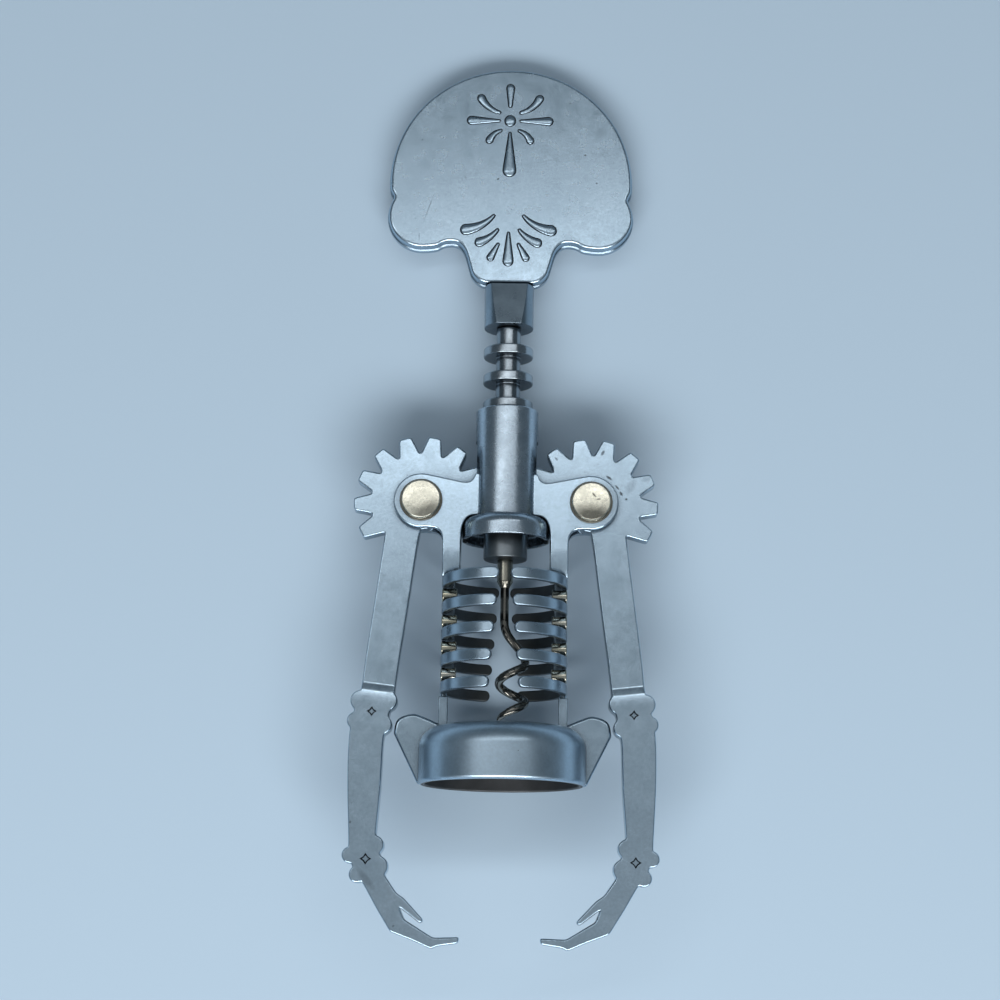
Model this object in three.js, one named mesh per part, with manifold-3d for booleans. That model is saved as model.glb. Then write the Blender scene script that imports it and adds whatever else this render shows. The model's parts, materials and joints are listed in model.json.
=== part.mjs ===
// A wing corkscrew in the form of a skeleton: a skull for a handle, a ringed rack for a spine,
// two geared levers for arms, a rib cage and a bell that sits on the bottle.
// Lengths are in millimetres, angles in degrees.
// The pieces are built in the tool's own frame: +Y runs up the screw from the bell's mouth to the skull,
// +X crosses the levers and +Z leaves the back of the skull. The tool then lies down on its face.

import * as THREE from 'three';
import { mergeVertices } from 'three/addons/utils/BufferGeometryUtils.js';
import Module from 'manifold-3d';

const wasm = await Module();
wasm.setup();

// Clearances
const SEAT_GAP = 0.3;
const RUNNING_GAP = 0.3;
const OVERRUN = 2;

// Bell that sits on the bottle
const BELL_RADIUS = 20.5;
const BELL_HEIGHT = 14;
const BELL_WALL = 1.8;
const BELL_SHOULDER = 5.5;
const BELL_HOLE_RADIUS = 11.5;
const BELL_LIP_ROUND = 0.6;

// Hips, the flat stops beside the bell, which reach out to the closed levers
const WING_THICKNESS = 3;
const WING_LEVER_GAP = 0.5;

// Posts that carry the rib cage
const POST_WIDTH = 2.2;
const POST_DEPTH = 3.4;
const POST_LENGTH = 7.5;

// Rib cage
const CAGE_RADIUS = 15.7;
const CAGE_WALL = 1.7;
const RIB_COUNT = 5;
const RIB_HEIGHT = 2.75;
const RIB_PITCH = 6.58;
const RIB_CHAMFER = 0.35;
const TOP_RIB_HALF_OPENING = 1.5;
const OPENING_GROWTH = 0.55;
const KNUCKLE_RADIUS = 1.6;
const KNUCKLE_LENGTH = 3.6;
const KNUCKLE_ROUND = 0.4;
const PILLAR_WIDTH = 2.2;
const PILLAR_DEPTH = 2;

// Rack: rings on a spine, which the gears turn on
const RING_COUNT = 7;
const RING_PITCH = 7;
const RING_RADIUS = 6.3;
const RING_THICKNESS = 2.4;
const RING_ROUND = 0.6;
const CORE_RADIUS = 3.1;
const RING_PHASE = 0.7;
const SLEEVE_TAIL = 4.7;
const SLEEVE_HEAD = 6.7;

// Gears cut on the levers
const GEAR_TEETH = 14;
const GEAR_TEETH_CUT = 9;
const GEAR_ADDENDUM = 1.3;
const GEAR_DEDENDUM = 3.1;
const TOOTH_TIP_WIDTH = 2.7;
const TOOTH_TIP_ROUND = 0.45;
const TOOTH_FOOT_GAP = 0.55;
const RACK_PITCH_LINE = 5.5;

// Levers
const LEVER_LENGTH = 108.6;
const LEVER_THICKNESS = 4;
const FOREARM_THICKNESS = 5.2;
const HUB_RADIUS = 7;
const MARK_DEPTH = 0.4;

// Guide tube with its collar, and the yoke cheeks beside it
const TUBE_WALL = 1.2;
const TUBE_RISE = 33.3;
const TUBE_ROUND = 0.6;
const COLLAR_RADIUS = 11.3;
const COLLAR_HEIGHT = 5.5;
const COLLAR_SHOULDER = 2.5;
const COLLAR_CUP_RADIUS = 9.8;
const COLLAR_CUP_DEPTH = 3;
const LEG_RISE = 9.2;
const LEG_WIDTH = 4.2;
const CHEEK_THICKNESS = 1.85;
const EAR_RADIUS = 6.8;
const PIVOT_RISE = 9.4;

// Rivets
const RIVET_RADIUS = 2.7;
const RIVET_HEAD_RADIUS = 4.85;
const RIVET_HEAD_HEIGHT = 1.5;
const RIVET_HEAD_ROUND = 0.5;

// Spindle, socket and worm
const SPINDLE_RADIUS = 1.8;
const SPINDLE_SEAT_DEPTH = 4.5;
const SOCKET_RADIUS = 5.45;
const SOCKET_LENGTH = 6.4;
const SOCKET_CHAMFER = 0.5;
const SOCKET_SEAT_DEPTH = 3;
const WIRE_RADIUS = 1.05;
const WIRE_SEAT_DEPTH = 2.2;
const WORM_STEM = 14.6;
const WORM_LEAD_IN = 11.4;
const WORM_LENGTH = 14.2;
const WORM_OFFSET = 2.1;
const WORM_PITCH = 9.3;
const HELIX_RADIUS = 3.2;
const TIP_RADIUS = 0.2;
const TIP_LENGTH = 3;
const FERRULE_RADIUS = 1.95;
const FERRULE_LENGTH = 7;
const FERRULE_TAPER = 1.4;
const FERRULE_EDGE = 0.15;

// Shank and skull
const SHANK_RADIUS = 6.25;
const SHANK_LENGTH = 11;
const SHANK_LOW_FLAT = 5.5;
const SHANK_HIGH_FLAT = 4.2;
const SHANK_ROUND = 0.5;
const SKULL_RADIUS = 31.4;
const SKULL_RISE = 28.1;
const SKULL_THICKNESS = 4.6;
const SKULL_BEVEL = 0.8;
const TONGUE_WIDTH = 8.4;
const TONGUE_LENGTH = 5.2;
const FACE_DEPTH = 0.9;
const TOOTH_LINE_WIDTH = 0.7;

// How finely round forms are faceted
const ROUND_SEGMENTS = 40;
const SMALL_ROUND_SEGMENTS = 20;
const CORNER_STEP = 22.5;
const ARC_STEP = 9;
const WIRE_SIDES = 8;
const WIRE_STEPS_PER_TURN = 16;
const LEAD_IN_STEPS = 8;
const RIB_STEPS = 9;
const RIB_END_STEPS = 3;
const CURVE_STEPS = 6;

// Places that follow from the sizes, all in the tool's own frame
const GEAR_PITCH_RADIUS = RING_PITCH * GEAR_TEETH / (2 * Math.PI);
const GEAR_TIP_RADIUS = GEAR_PITCH_RADIUS + GEAR_ADDENDUM;
const GEAR_ROOT_RADIUS = GEAR_PITCH_RADIUS - GEAR_DEDENDUM;
const POST_Y = BELL_HEIGHT + SEAT_GAP;
const POST_X = CAGE_RADIUS - POST_WIDTH / 2;
const CAGE_Y = POST_Y + POST_LENGTH + SEAT_GAP;
const CAGE_TOP = CAGE_Y + (RIB_COUNT - 1) * RIB_PITCH + RIB_HEIGHT;
const LEG_FOOT = CAGE_TOP + SEAT_GAP;
const COLLAR_Y = CAGE_TOP + LEG_RISE;
const COLLAR_TOP = COLLAR_Y + COLLAR_HEIGHT;
const TUBE_TOP = COLLAR_Y + TUBE_RISE;
const TUBE_BORE = RING_RADIUS + RUNNING_GAP;
const TUBE_RADIUS = TUBE_BORE + TUBE_WALL;
const PIVOT_X = RACK_PITCH_LINE + GEAR_PITCH_RADIUS;
const PIVOT_Y = COLLAR_Y + PIVOT_RISE;
const CHEEK_INNER_Z = LEVER_THICKNESS / 2 + RUNNING_GAP;
const CHEEK_OUTER_Z = CHEEK_INNER_Z + CHEEK_THICKNESS;
const FIRST_RING_Y = PIVOT_Y + RING_PHASE - RING_PITCH / 2;
const LAST_RING_Y = FIRST_RING_Y + (RING_COUNT - 1) * RING_PITCH;
const SLEEVE_BOTTOM = FIRST_RING_Y - SLEEVE_TAIL;
const SLEEVE_TOP = LAST_RING_Y + SLEEVE_HEAD - SEAT_GAP;
const SHANK_Y = SLEEVE_TOP + SEAT_GAP;
const SHANK_TOP = SHANK_Y + SHANK_LENGTH;
const SOCKET_TOP = SLEEVE_BOTTOM - SEAT_GAP;
const SOCKET_Y = SOCKET_TOP - SOCKET_LENGTH;
const SKULL_JAW_Y = SHANK_TOP + SEAT_GAP;
const SKULL_CENTRE_Y = SKULL_JAW_Y + SKULL_RISE;
const TOOTH_PHASE = THREE.MathUtils.radToDeg(RING_PHASE / GEAR_PITCH_RADIUS);
const TOOTH_STEP = 360 / GEAR_TEETH;
const POST_OUTER_X = POST_X + POST_WIDTH / 2;

// Shares of SKULL_RADIUS, from the centre of the cranium, for the right half
const craniumEndShares = [0.988, -0.09];
const notchShares = [0.965, -0.147];
const cheekbone = { xShare: 0.72, yShare: -0.303, radiusShare: 0.29, from: 31, to: -98 };
const cheekUnderShares = [
  [0.6, -0.579], [0.545, -0.55], [0.484, -0.538], [0.423, -0.552], [0.378, -0.606], [0.354, -0.675],
];
const jawShares = [[0.328, -0.768], [0.306, -0.872]];
const jawFootShare = 0.191;
const eyeShares = { x: 0.35, y: -0.14, width: 0.235, height: 0.205 };
const noseShares = [[0, -0.27], [0.095, -0.47], [0, -0.43], [-0.095, -0.47]];
const toothLineShares = { low: -0.86, high: -0.66, xs: [-0.2, -0.1, 0, 0.1, 0.2] };

// Shares of LEVER_LENGTH, from the pivot, for the left lever
const hubSweep = { from: -90, to: -45 };
const upperArmOuterShares = [[-0.081, -0.072], [-0.106, -0.273], [-0.118, -0.365], [-0.125, -0.445]];
const upperArmInnerShares = [[-0.052, -0.445], [-0.046, -0.364], [-0.036, -0.273], [-0.018, -0.092]];
const elbowLobeShares = [
  [-0.124, -0.459, 0.022], [-0.066, -0.458, 0.021], [-0.135, -0.504, 0.0185], [-0.0745, -0.512, 0.0205],
];
const forearmShares = [
  [-0.128, -0.437], [-0.141, -0.484], [-0.148, -0.526], [-0.15, -0.589], [-0.148, -0.666],
  [-0.144, -0.733], [-0.142, -0.775], [-0.142, -0.8], [-0.126, -0.84], [-0.107, -0.862], [-0.078, -0.912],
  [-0.045, -0.964], [0.004, -0.982], [0.046, -1], [0.104, -0.987], [0.107, -0.973],
  [0.049, -0.975], [-0.015, -0.937], [-0.026, -0.911], [0.021, -0.946], [0.028, -0.938],
  [-0.018, -0.89], [-0.033, -0.881], [-0.059, -0.844], [-0.07, -0.8], [-0.084, -0.76],
  [-0.083, -0.728], [-0.079, -0.665], [-0.077, -0.601], [-0.076, -0.537], [-0.064, -0.52],
  [-0.06, -0.485], [-0.052, -0.465], [-0.059, -0.437],
];
const wristLobeShares = [
  [-0.138, -0.8, 0.0165], [-0.121, -0.842, 0.0155], [-0.085, -0.778, 0.02], [-0.0765, -0.824, 0.022],
];
const markShares = [[-0.099, -0.483, 0.011], [-0.103, -0.808, 0.0125]];

// Shares for a hip, across of its reach past the bell and up of the bell's height
const wingShares = [[0, 0], [1, 0.87], [0.86, 1.11], [0.3, 1.215], [-0.2, 1.165]];
const wingRootShare = 1.03;

// Shares for a cheek, of its thickness at the armpit and of its ear at the saddle, and the ear's sweep
const armpitShares = { drop: 2, reach: 1.5 };
const saddleShare = 0.67;
const earSweep = { from: -80, to: -270 };

// Where round the stem the worm's lead-in starts and ends, in turns
const leadInTurns = { from: 0.5, to: 0.25 };

const materials = {
  zinc: new THREE.MeshStandardMaterial({ color: 0x9aa3ad, roughness: 0.42, metalness: 0.9 }),
  brass: new THREE.MeshStandardMaterial({ color: 0xc9bf95, roughness: 0.38, metalness: 1 }),
  steel: new THREE.MeshStandardMaterial({ color: 0x5d5a55, roughness: 0.25, metalness: 1 }),
};

// Points of an arc, without a bare step size
function arcPoints(x, y, radius, fromAngle, toAngle, step = ARC_STEP) {
  const count = Math.max(1, Math.ceil(Math.abs(toAngle - fromAngle) / step));
  const points = [];
  for (let i = 0; i <= count; i += 1) {
    const angle = THREE.MathUtils.degToRad(fromAngle + (toAngle - fromAngle) * i / count);
    points.push(new THREE.Vector2(x + radius * Math.cos(angle), y + radius * Math.sin(angle)));
  }
  return points;
}

function bendPoints(from, through, to) {
  return new THREE.QuadraticBezierCurve(from, through, to).getPoints(CURVE_STEPS);
}

// The same outline on the other side of the screw
function mirrored(points) {
  return points.map((p) => new THREE.Vector2(-p.x, p.y)).reverse();
}

function scaled(shares, unit, x = 0, y = 0) {
  return shares.map((share) => new THREE.Vector2(x + share[0] * unit, y + share[1] * unit));
}

// A flat piece that lies between two heights
function plate(points, lowZ, highZ, bevel = 0) {
  const geometry = new THREE.ExtrudeGeometry(new THREE.Shape(points), {
    depth: highZ - lowZ - 2 * bevel,
    bevelEnabled: bevel > 0,
    bevelThickness: bevel,
    bevelSize: bevel,
    bevelOffset: -bevel,
    bevelSegments: 1,
  });
  return geometry.translate(0, 0, lowZ + bevel);
}

function centredPlate(points, thickness, bevel = 0) {
  return plate(points, -thickness / 2, thickness / 2, bevel);
}

function disc(x, y, radius, thickness) {
  return centredPlate(arcPoints(x, y, radius, 0, 360 - CORNER_STEP, CORNER_STEP), thickness);
}

function block(lowX, highX, lowY, highY, depth) {
  const box = new THREE.BoxGeometry(highX - lowX, highY - lowY, depth);
  return box.translate((lowX + highX) / 2, (lowY + highY) / 2, 0);
}

// A turned piece about the screw; the profile closes on itself or ends on the axis
function turned(profile, segments = ROUND_SEGMENTS, start = 0) {
  const points = profile.map(([radius, y]) => new THREE.Vector2(radius, y));
  return new THREE.LatheGeometry(points, segments, start);
}

function rod(radius, lowY, highY, segments = SMALL_ROUND_SEGMENTS) {
  return turned([[0, lowY], [radius, lowY], [radius, highY], [0, highY]], segments);
}

// Closed skin through sections that have as many points as each other
function loft(sections) {
  const sides = sections[0].length;
  const positions = sections.flat().flatMap((point) => [point.x, point.y, point.z]);
  const indices = [];
  for (let s = 0; s + 1 < sections.length; s += 1) {
    for (let i = 0; i < sides; i += 1) {
      const a = s * sides + i;
      const b = s * sides + (i + 1) % sides;
      indices.push(a, b, b + sides, a, b + sides, a + sides);
    }
  }
  const last = (sections.length - 1) * sides;
  for (let i = 1; i + 1 < sides; i += 1) {
    indices.push(0, i + 1, i);
    indices.push(last, last + i, last + i + 1);
  }
  const geometry = new THREE.BufferGeometry();
  geometry.setAttribute('position', new THREE.Float32BufferAttribute(positions, 3));
  geometry.setIndex(indices);
  return geometry;
}

function toSolid(geometry) {
  const bare = geometry.clone();
  bare.deleteAttribute('normal');
  bare.deleteAttribute('uv');
  const merged = mergeVertices(bare);
  const mesh = new wasm.Mesh({
    numProp: 3,
    vertProperties: Float32Array.from(merged.attributes.position.array),
    triVerts: Uint32Array.from(merged.index.array),
  });
  return new wasm.Manifold(mesh);
}

function toGeometry(solid) {
  const mesh = solid.getMesh();
  const geometry = new THREE.BufferGeometry();
  geometry.setAttribute('position', new THREE.BufferAttribute(Float32Array.from(mesh.vertProperties), 3));
  geometry.setIndex(new THREE.BufferAttribute(Uint32Array.from(mesh.triVerts), 1));
  geometry.computeVertexNormals();
  return geometry;
}

function joined(geometries) {
  return geometries.map(toSolid).reduce((whole, next) => whole.add(next));
}

function cut(solid, geometries) {
  return geometries.map(toSolid).reduce((left, cutter) => left.subtract(cutter), solid);
}

// Skull: one plate, with its tongue in the shank and a face cut shallowly in the front
function skullHalf() {
  const at = (share) => scaled([share], SKULL_RADIUS, 0, SKULL_CENTRE_Y)[0];
  const end = at(craniumEndShares);
  const endAngle = THREE.MathUtils.radToDeg(Math.atan2(end.y - SKULL_CENTRE_Y, end.x));
  const bone = at([cheekbone.xShare, cheekbone.yShare]);
  const boneRadius = cheekbone.radiusShare * SKULL_RADIUS;
  const boneArc = arcPoints(bone.x, bone.y, boneRadius, cheekbone.from, cheekbone.to);
  const under = new THREE.SplineCurve([boneArc[boneArc.length - 1], ...cheekUnderShares.map(at)]);
  const jaw = jawShares.map(at);
  const foot = new THREE.Vector2(jawFootShare * SKULL_RADIUS, SKULL_JAW_Y);
  return [
    ...arcPoints(0, SKULL_CENTRE_Y, SKULL_RADIUS, 90, endAngle),
    at(notchShares),
    ...boneArc,
    ...under.getPoints(2 * CURVE_STEPS).slice(1),
    ...bendPoints(jaw[0], jaw[1], foot),
  ];
}

function makeSkull() {
  const right = skullHalf();
  const outline = [...right, ...mirrored(right).slice(0, -1)];
  const tongue = block(
    -TONGUE_WIDTH / 2, TONGUE_WIDTH / 2,
    SKULL_JAW_Y - TONGUE_LENGTH, SKULL_JAW_Y + TONGUE_LENGTH,
    SKULL_THICKNESS - 2 * SKULL_BEVEL,
  );
  const skull = joined([centredPlate(outline, SKULL_THICKNESS, SKULL_BEVEL), tongue]);
  const floor = -SKULL_THICKNESS / 2 + FACE_DEPTH;
  const below = -SKULL_THICKNESS / 2 - OVERRUN;
  const eyes = [-1, 1].map((side) => {
    const socket = new THREE.Shape().absellipse(
      side * eyeShares.x * SKULL_RADIUS, SKULL_CENTRE_Y + eyeShares.y * SKULL_RADIUS,
      eyeShares.width * SKULL_RADIUS, eyeShares.height * SKULL_RADIUS,
      0, 2 * Math.PI,
    );
    return plate(socket.getPoints(SMALL_ROUND_SEGMENTS / 2).slice(0, -1), below, floor);
  });
  const nose = plate(scaled(noseShares, SKULL_RADIUS, 0, SKULL_CENTRE_Y), below, floor);
  const low = SKULL_CENTRE_Y + toothLineShares.low * SKULL_RADIUS;
  const high = SKULL_CENTRE_Y + toothLineShares.high * SKULL_RADIUS;
  const teeth = toothLineShares.xs.map((share) => {
    const left = share * SKULL_RADIUS - TOOTH_LINE_WIDTH / 2;
    const line = block(left, left + TOOTH_LINE_WIDTH, low, high, floor - below);
    return line.translate(0, 0, (below + floor) / 2);
  });
  return cut(skull, [...eyes, nose, ...teeth]);
}

// Shank: round below, pinched to two slanting flats above, with a slot for the skull's tongue
function makeShank() {
  const section = (y, radius, flat) => arcPoints(0, 0, radius, 0, 360 - ARC_STEP)
    .map((p) => new THREE.Vector3(p.x, y, THREE.MathUtils.clamp(p.y, -flat, flat)));
  const slope = (SHANK_LOW_FLAT - SHANK_HIGH_FLAT) / SHANK_LENGTH;
  const body = loft([
    section(SHANK_TOP, SHANK_RADIUS, SHANK_HIGH_FLAT),
    section(SHANK_Y + SHANK_ROUND, SHANK_RADIUS, SHANK_LOW_FLAT - slope * SHANK_ROUND),
    section(SHANK_Y, SHANK_RADIUS - SHANK_ROUND, SHANK_LOW_FLAT - SHANK_ROUND),
  ]);
  const slot = block(
    -TONGUE_WIDTH / 2 - SEAT_GAP, TONGUE_WIDTH / 2 + SEAT_GAP,
    SKULL_JAW_Y - TONGUE_LENGTH - SEAT_GAP, SHANK_TOP + OVERRUN,
    SKULL_THICKNESS - 2 * SKULL_BEVEL + 2 * SEAT_GAP,
  );
  const bore = rod(SPINDLE_RADIUS + SEAT_GAP, SHANK_Y - OVERRUN, SHANK_Y + SPINDLE_SEAT_DEPTH + SEAT_GAP);
  return cut(toSolid(body), [slot, bore]);
}

function makeSpindle() {
  return rod(SPINDLE_RADIUS, SOCKET_TOP - SOCKET_SEAT_DEPTH, SHANK_Y + SPINDLE_SEAT_DEPTH);
}

// Rack: rings turned on one sleeve, which the lever gears climb
function makeRack() {
  const bore = SPINDLE_RADIUS + RUNNING_GAP;
  const profile = [[bore, SLEEVE_BOTTOM], [CORE_RADIUS, SLEEVE_BOTTOM]];
  for (let i = 0; i < RING_COUNT; i += 1) {
    const low = FIRST_RING_Y + i * RING_PITCH - RING_THICKNESS / 2;
    const high = low + RING_THICKNESS;
    profile.push([CORE_RADIUS, low], [RING_RADIUS - RING_ROUND, low], [RING_RADIUS, low + RING_ROUND]);
    profile.push([RING_RADIUS, high - RING_ROUND], [RING_RADIUS - RING_ROUND, high], [CORE_RADIUS, high]);
  }
  profile.push([CORE_RADIUS, SLEEVE_TOP], [bore, SLEEVE_TOP], [bore, SLEEVE_BOTTOM]);
  return turned(profile, SMALL_ROUND_SEGMENTS);
}

function makeSocket() {
  const body = turned([
    [0, SOCKET_Y], [SOCKET_RADIUS - SOCKET_CHAMFER, SOCKET_Y], [SOCKET_RADIUS, SOCKET_Y + SOCKET_CHAMFER],
    [SOCKET_RADIUS, SOCKET_TOP], [0, SOCKET_TOP],
  ]);
  const spindleSeat = rod(
    SPINDLE_RADIUS + SEAT_GAP, SOCKET_TOP - SOCKET_SEAT_DEPTH - SEAT_GAP, SOCKET_TOP + OVERRUN,
  );
  const wireSeat = rod(WIRE_RADIUS + SEAT_GAP, SOCKET_Y - OVERRUN, SOCKET_Y + WIRE_SEAT_DEPTH + SEAT_GAP);
  return cut(toSolid(body), [spindleSeat, wireSeat]);
}

function makeFerrule() {
  const bore = WIRE_RADIUS + SEAT_GAP;
  const top = SOCKET_Y - SEAT_GAP;
  const bottom = SOCKET_Y - FERRULE_LENGTH;
  return turned([
    [bore, bottom], [bore + FERRULE_EDGE, bottom], [FERRULE_RADIUS, bottom + FERRULE_TAPER],
    [FERRULE_RADIUS, top], [bore, top], [bore, bottom],
  ], SMALL_ROUND_SEGMENTS);
}

// Worm: a straight stem that leans into a right-handed helix and thins to its point
function makeWorm() {
  const path = [];
  const place = (y, spread, turn) => path.push(new THREE.Vector3(
    spread * (WORM_OFFSET + HELIX_RADIUS * Math.sin(2 * Math.PI * turn)),
    y,
    spread * HELIX_RADIUS * Math.cos(2 * Math.PI * turn),
  ));
  const helixTop = SOCKET_Y - WORM_STEM - WORM_LEAD_IN;
  place(SOCKET_Y + WIRE_SEAT_DEPTH, 0, 0);
  for (let i = 0; i < LEAD_IN_STEPS; i += 1) {
    const share = i / LEAD_IN_STEPS;
    const turn = THREE.MathUtils.lerp(leadInTurns.from, leadInTurns.to, share);
    place(SOCKET_Y - WORM_STEM - share * WORM_LEAD_IN, THREE.MathUtils.smootherstep(share, 0, 1), turn);
  }
  const turns = WORM_LENGTH / WORM_PITCH;
  const steps = Math.round(turns * WIRE_STEPS_PER_TURN);
  for (let i = 0; i <= steps; i += 1) {
    place(helixTop - WORM_LENGTH * i / steps, 1, leadInTurns.to - turns * i / steps);
  }
  const tipY = helixTop - WORM_LENGTH;
  return loft(path.map((point, i) => {
    const before = path[Math.max(0, i - 1)];
    const after = path[Math.min(path.length - 1, i + 1)];
    const along = after.clone().sub(before).normalize();
    const across = new THREE.Vector3(0, 0, 1).cross(along).normalize();
    const up = along.clone().cross(across);
    const taper = THREE.MathUtils.clamp((point.y - tipY) / TIP_LENGTH, 0, 1);
    const radius = TIP_RADIUS + (WIRE_RADIUS - TIP_RADIUS) * Math.sqrt(taper);
    return arcPoints(0, 0, radius, 0, 360 - 360 / WIRE_SIDES, 360 / WIRE_SIDES).map((p) => point.clone()
      .addScaledVector(across, p.x).addScaledVector(up, p.y));
  }));
}

// Guide tube and its collar in one turning, slotted at both sides for the gears
function guideProfile(growth) {
  const shoulder = arcPoints(
    COLLAR_RADIUS - COLLAR_SHOULDER, COLLAR_TOP - COLLAR_SHOULDER,
    COLLAR_SHOULDER + growth, 0, 90, CORNER_STEP,
  );
  return [
    [COLLAR_RADIUS + growth, COLLAR_Y - growth],
    ...shoulder.map((p) => [p.x, p.y]),
    [TUBE_RADIUS + growth, COLLAR_TOP + growth],
  ];
}

function makeGuideTube() {
  const body = turned([
    [TUBE_BORE, COLLAR_Y + COLLAR_CUP_DEPTH], [COLLAR_CUP_RADIUS, COLLAR_Y + COLLAR_CUP_DEPTH],
    [COLLAR_CUP_RADIUS, COLLAR_Y],
    ...guideProfile(0),
    [TUBE_RADIUS, TUBE_TOP - TUBE_ROUND], [TUBE_RADIUS - TUBE_ROUND, TUBE_TOP],
    [TUBE_BORE, TUBE_TOP], [TUBE_BORE, COLLAR_Y + COLLAR_CUP_DEPTH],
  ]);
  const reach = GEAR_TIP_RADIUS + RUNNING_GAP;
  const across = PIVOT_X - TUBE_RADIUS;
  const slotTop = PIVOT_Y + Math.sqrt(reach ** 2 - across ** 2);
  const slots = [-1, 1].map((side) => block(
    Math.min(side * CORE_RADIUS, side * (COLLAR_RADIUS + OVERRUN)),
    Math.max(side * CORE_RADIUS, side * (COLLAR_RADIUS + OVERRUN)),
    COLLAR_Y - OVERRUN, slotTop, LEVER_THICKNESS + 2 * RUNNING_GAP,
  ));
  return cut(toSolid(body), slots);
}

// Room that a neighbour leaves round the guide tube
function guideClearance() {
  return turned([
    [0, COLLAR_Y - SEAT_GAP], ...guideProfile(SEAT_GAP), [TUBE_RADIUS + SEAT_GAP, TUBE_TOP], [0, TUBE_TOP],
  ]);
}

// Yoke cheek: the ear round the rivet, a web to the tube and a leg down to the top rib
function cheekOutline() {
  const legOuter = -(CAGE_RADIUS - SEAT_GAP);
  const legInner = legOuter + LEG_WIDTH;
  const earX = -PIVOT_X;
  const armpit = PIVOT_Y - EAR_RADIUS;
  const crotch = COLLAR_TOP + SEAT_GAP;
  const ear = arcPoints(earX, PIVOT_Y, EAR_RADIUS, earSweep.from, earSweep.to);
  const earTop = ear[ear.length - 1];
  const saddle = new THREE.Vector2(-COLLAR_RADIUS, PIVOT_Y + EAR_RADIUS * saddleShare);
  const slope = earTop.clone().add(saddle).divideScalar(2);
  const web = new THREE.Vector2(-TUBE_RADIUS, PIVOT_Y + EAR_RADIUS);
  return [
    new THREE.Vector2(legInner, LEG_FOOT),
    new THREE.Vector2(legOuter, LEG_FOOT),
    ...bendPoints(
      new THREE.Vector2(legOuter, armpit - armpitShares.drop * CHEEK_THICKNESS),
      new THREE.Vector2(legOuter, armpit),
      new THREE.Vector2(legOuter - armpitShares.reach * CHEEK_THICKNESS, armpit),
    ),
    ...ear,
    ...bendPoints(earTop, new THREE.Vector2(slope.x, earTop.y), slope).slice(1),
    ...bendPoints(slope, new THREE.Vector2(slope.x, saddle.y), saddle).slice(1),
    ...bendPoints(saddle, new THREE.Vector2(-TUBE_RADIUS, saddle.y), web).slice(1),
    new THREE.Vector2(-TUBE_BORE, web.y),
    new THREE.Vector2(-TUBE_BORE, crotch),
    ...bendPoints(
      new THREE.Vector2(-TUBE_RADIUS, crotch),
      new THREE.Vector2(legInner, crotch),
      new THREE.Vector2(legInner, COLLAR_Y),
    ),
  ];
}

function makeCheek(side, face) {
  const points = side < 0 ? cheekOutline() : mirrored(cheekOutline());
  const slab = face > 0
    ? plate(points, CHEEK_INNER_Z, CHEEK_OUTER_Z)
    : plate(points, -CHEEK_OUTER_Z, -CHEEK_INNER_Z);
  const rivetHole = disc(side * PIVOT_X, PIVOT_Y, RIVET_RADIUS + RUNNING_GAP, 2 * (CHEEK_OUTER_Z + OVERRUN));
  return cut(toSolid(slab), [rivetHole, guideClearance()]);
}

function makeRivet(side) {
  const seat = CHEEK_OUTER_Z + SEAT_GAP;
  const top = seat + RIVET_HEAD_HEIGHT;
  const profile = [
    [0, -top], [RIVET_HEAD_RADIUS - RIVET_HEAD_ROUND, -top], [RIVET_HEAD_RADIUS, -top + RIVET_HEAD_ROUND],
    [RIVET_HEAD_RADIUS, -seat], [RIVET_RADIUS, -seat], [RIVET_RADIUS, seat], [RIVET_HEAD_RADIUS, seat],
    [RIVET_HEAD_RADIUS, top - RIVET_HEAD_ROUND], [RIVET_HEAD_RADIUS - RIVET_HEAD_ROUND, top], [0, top],
  ];
  return turned(profile, SMALL_ROUND_SEGMENTS).rotateX(Math.PI / 2).translate(side * PIVOT_X, PIVOT_Y, 0);
}

// Lever: a gear round the pivot, an upper arm, and a thicker forearm with its hand
function gearPoints(x, y) {
  const footHalf = TOOTH_STEP / 2 - THREE.MathUtils.radToDeg(TOOTH_FOOT_GAP / GEAR_ROOT_RADIUS / 2);
  const tipHalf = THREE.MathUtils.radToDeg(TOOTH_TIP_WIDTH / GEAR_TIP_RADIUS / 2);
  const round = THREE.MathUtils.radToDeg(TOOTH_TIP_ROUND / GEAR_TIP_RADIUS);
  const points = [];
  for (let i = 0; i < GEAR_TEETH_CUT; i += 1) {
    const centre = TOOTH_PHASE + i * TOOTH_STEP;
    const at = (radius, angle) => points.push(arcPoints(x, y, radius, centre + angle, centre + angle)[0]);
    at(GEAR_ROOT_RADIUS, -footHalf);
    at(GEAR_TIP_RADIUS - TOOTH_TIP_ROUND, -tipHalf);
    at(GEAR_TIP_RADIUS, -tipHalf + round);
    at(GEAR_TIP_RADIUS, tipHalf - round);
    at(GEAR_TIP_RADIUS - TOOTH_TIP_ROUND, tipHalf);
    at(GEAR_ROOT_RADIUS, footHalf);
  }
  return points;
}

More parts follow.
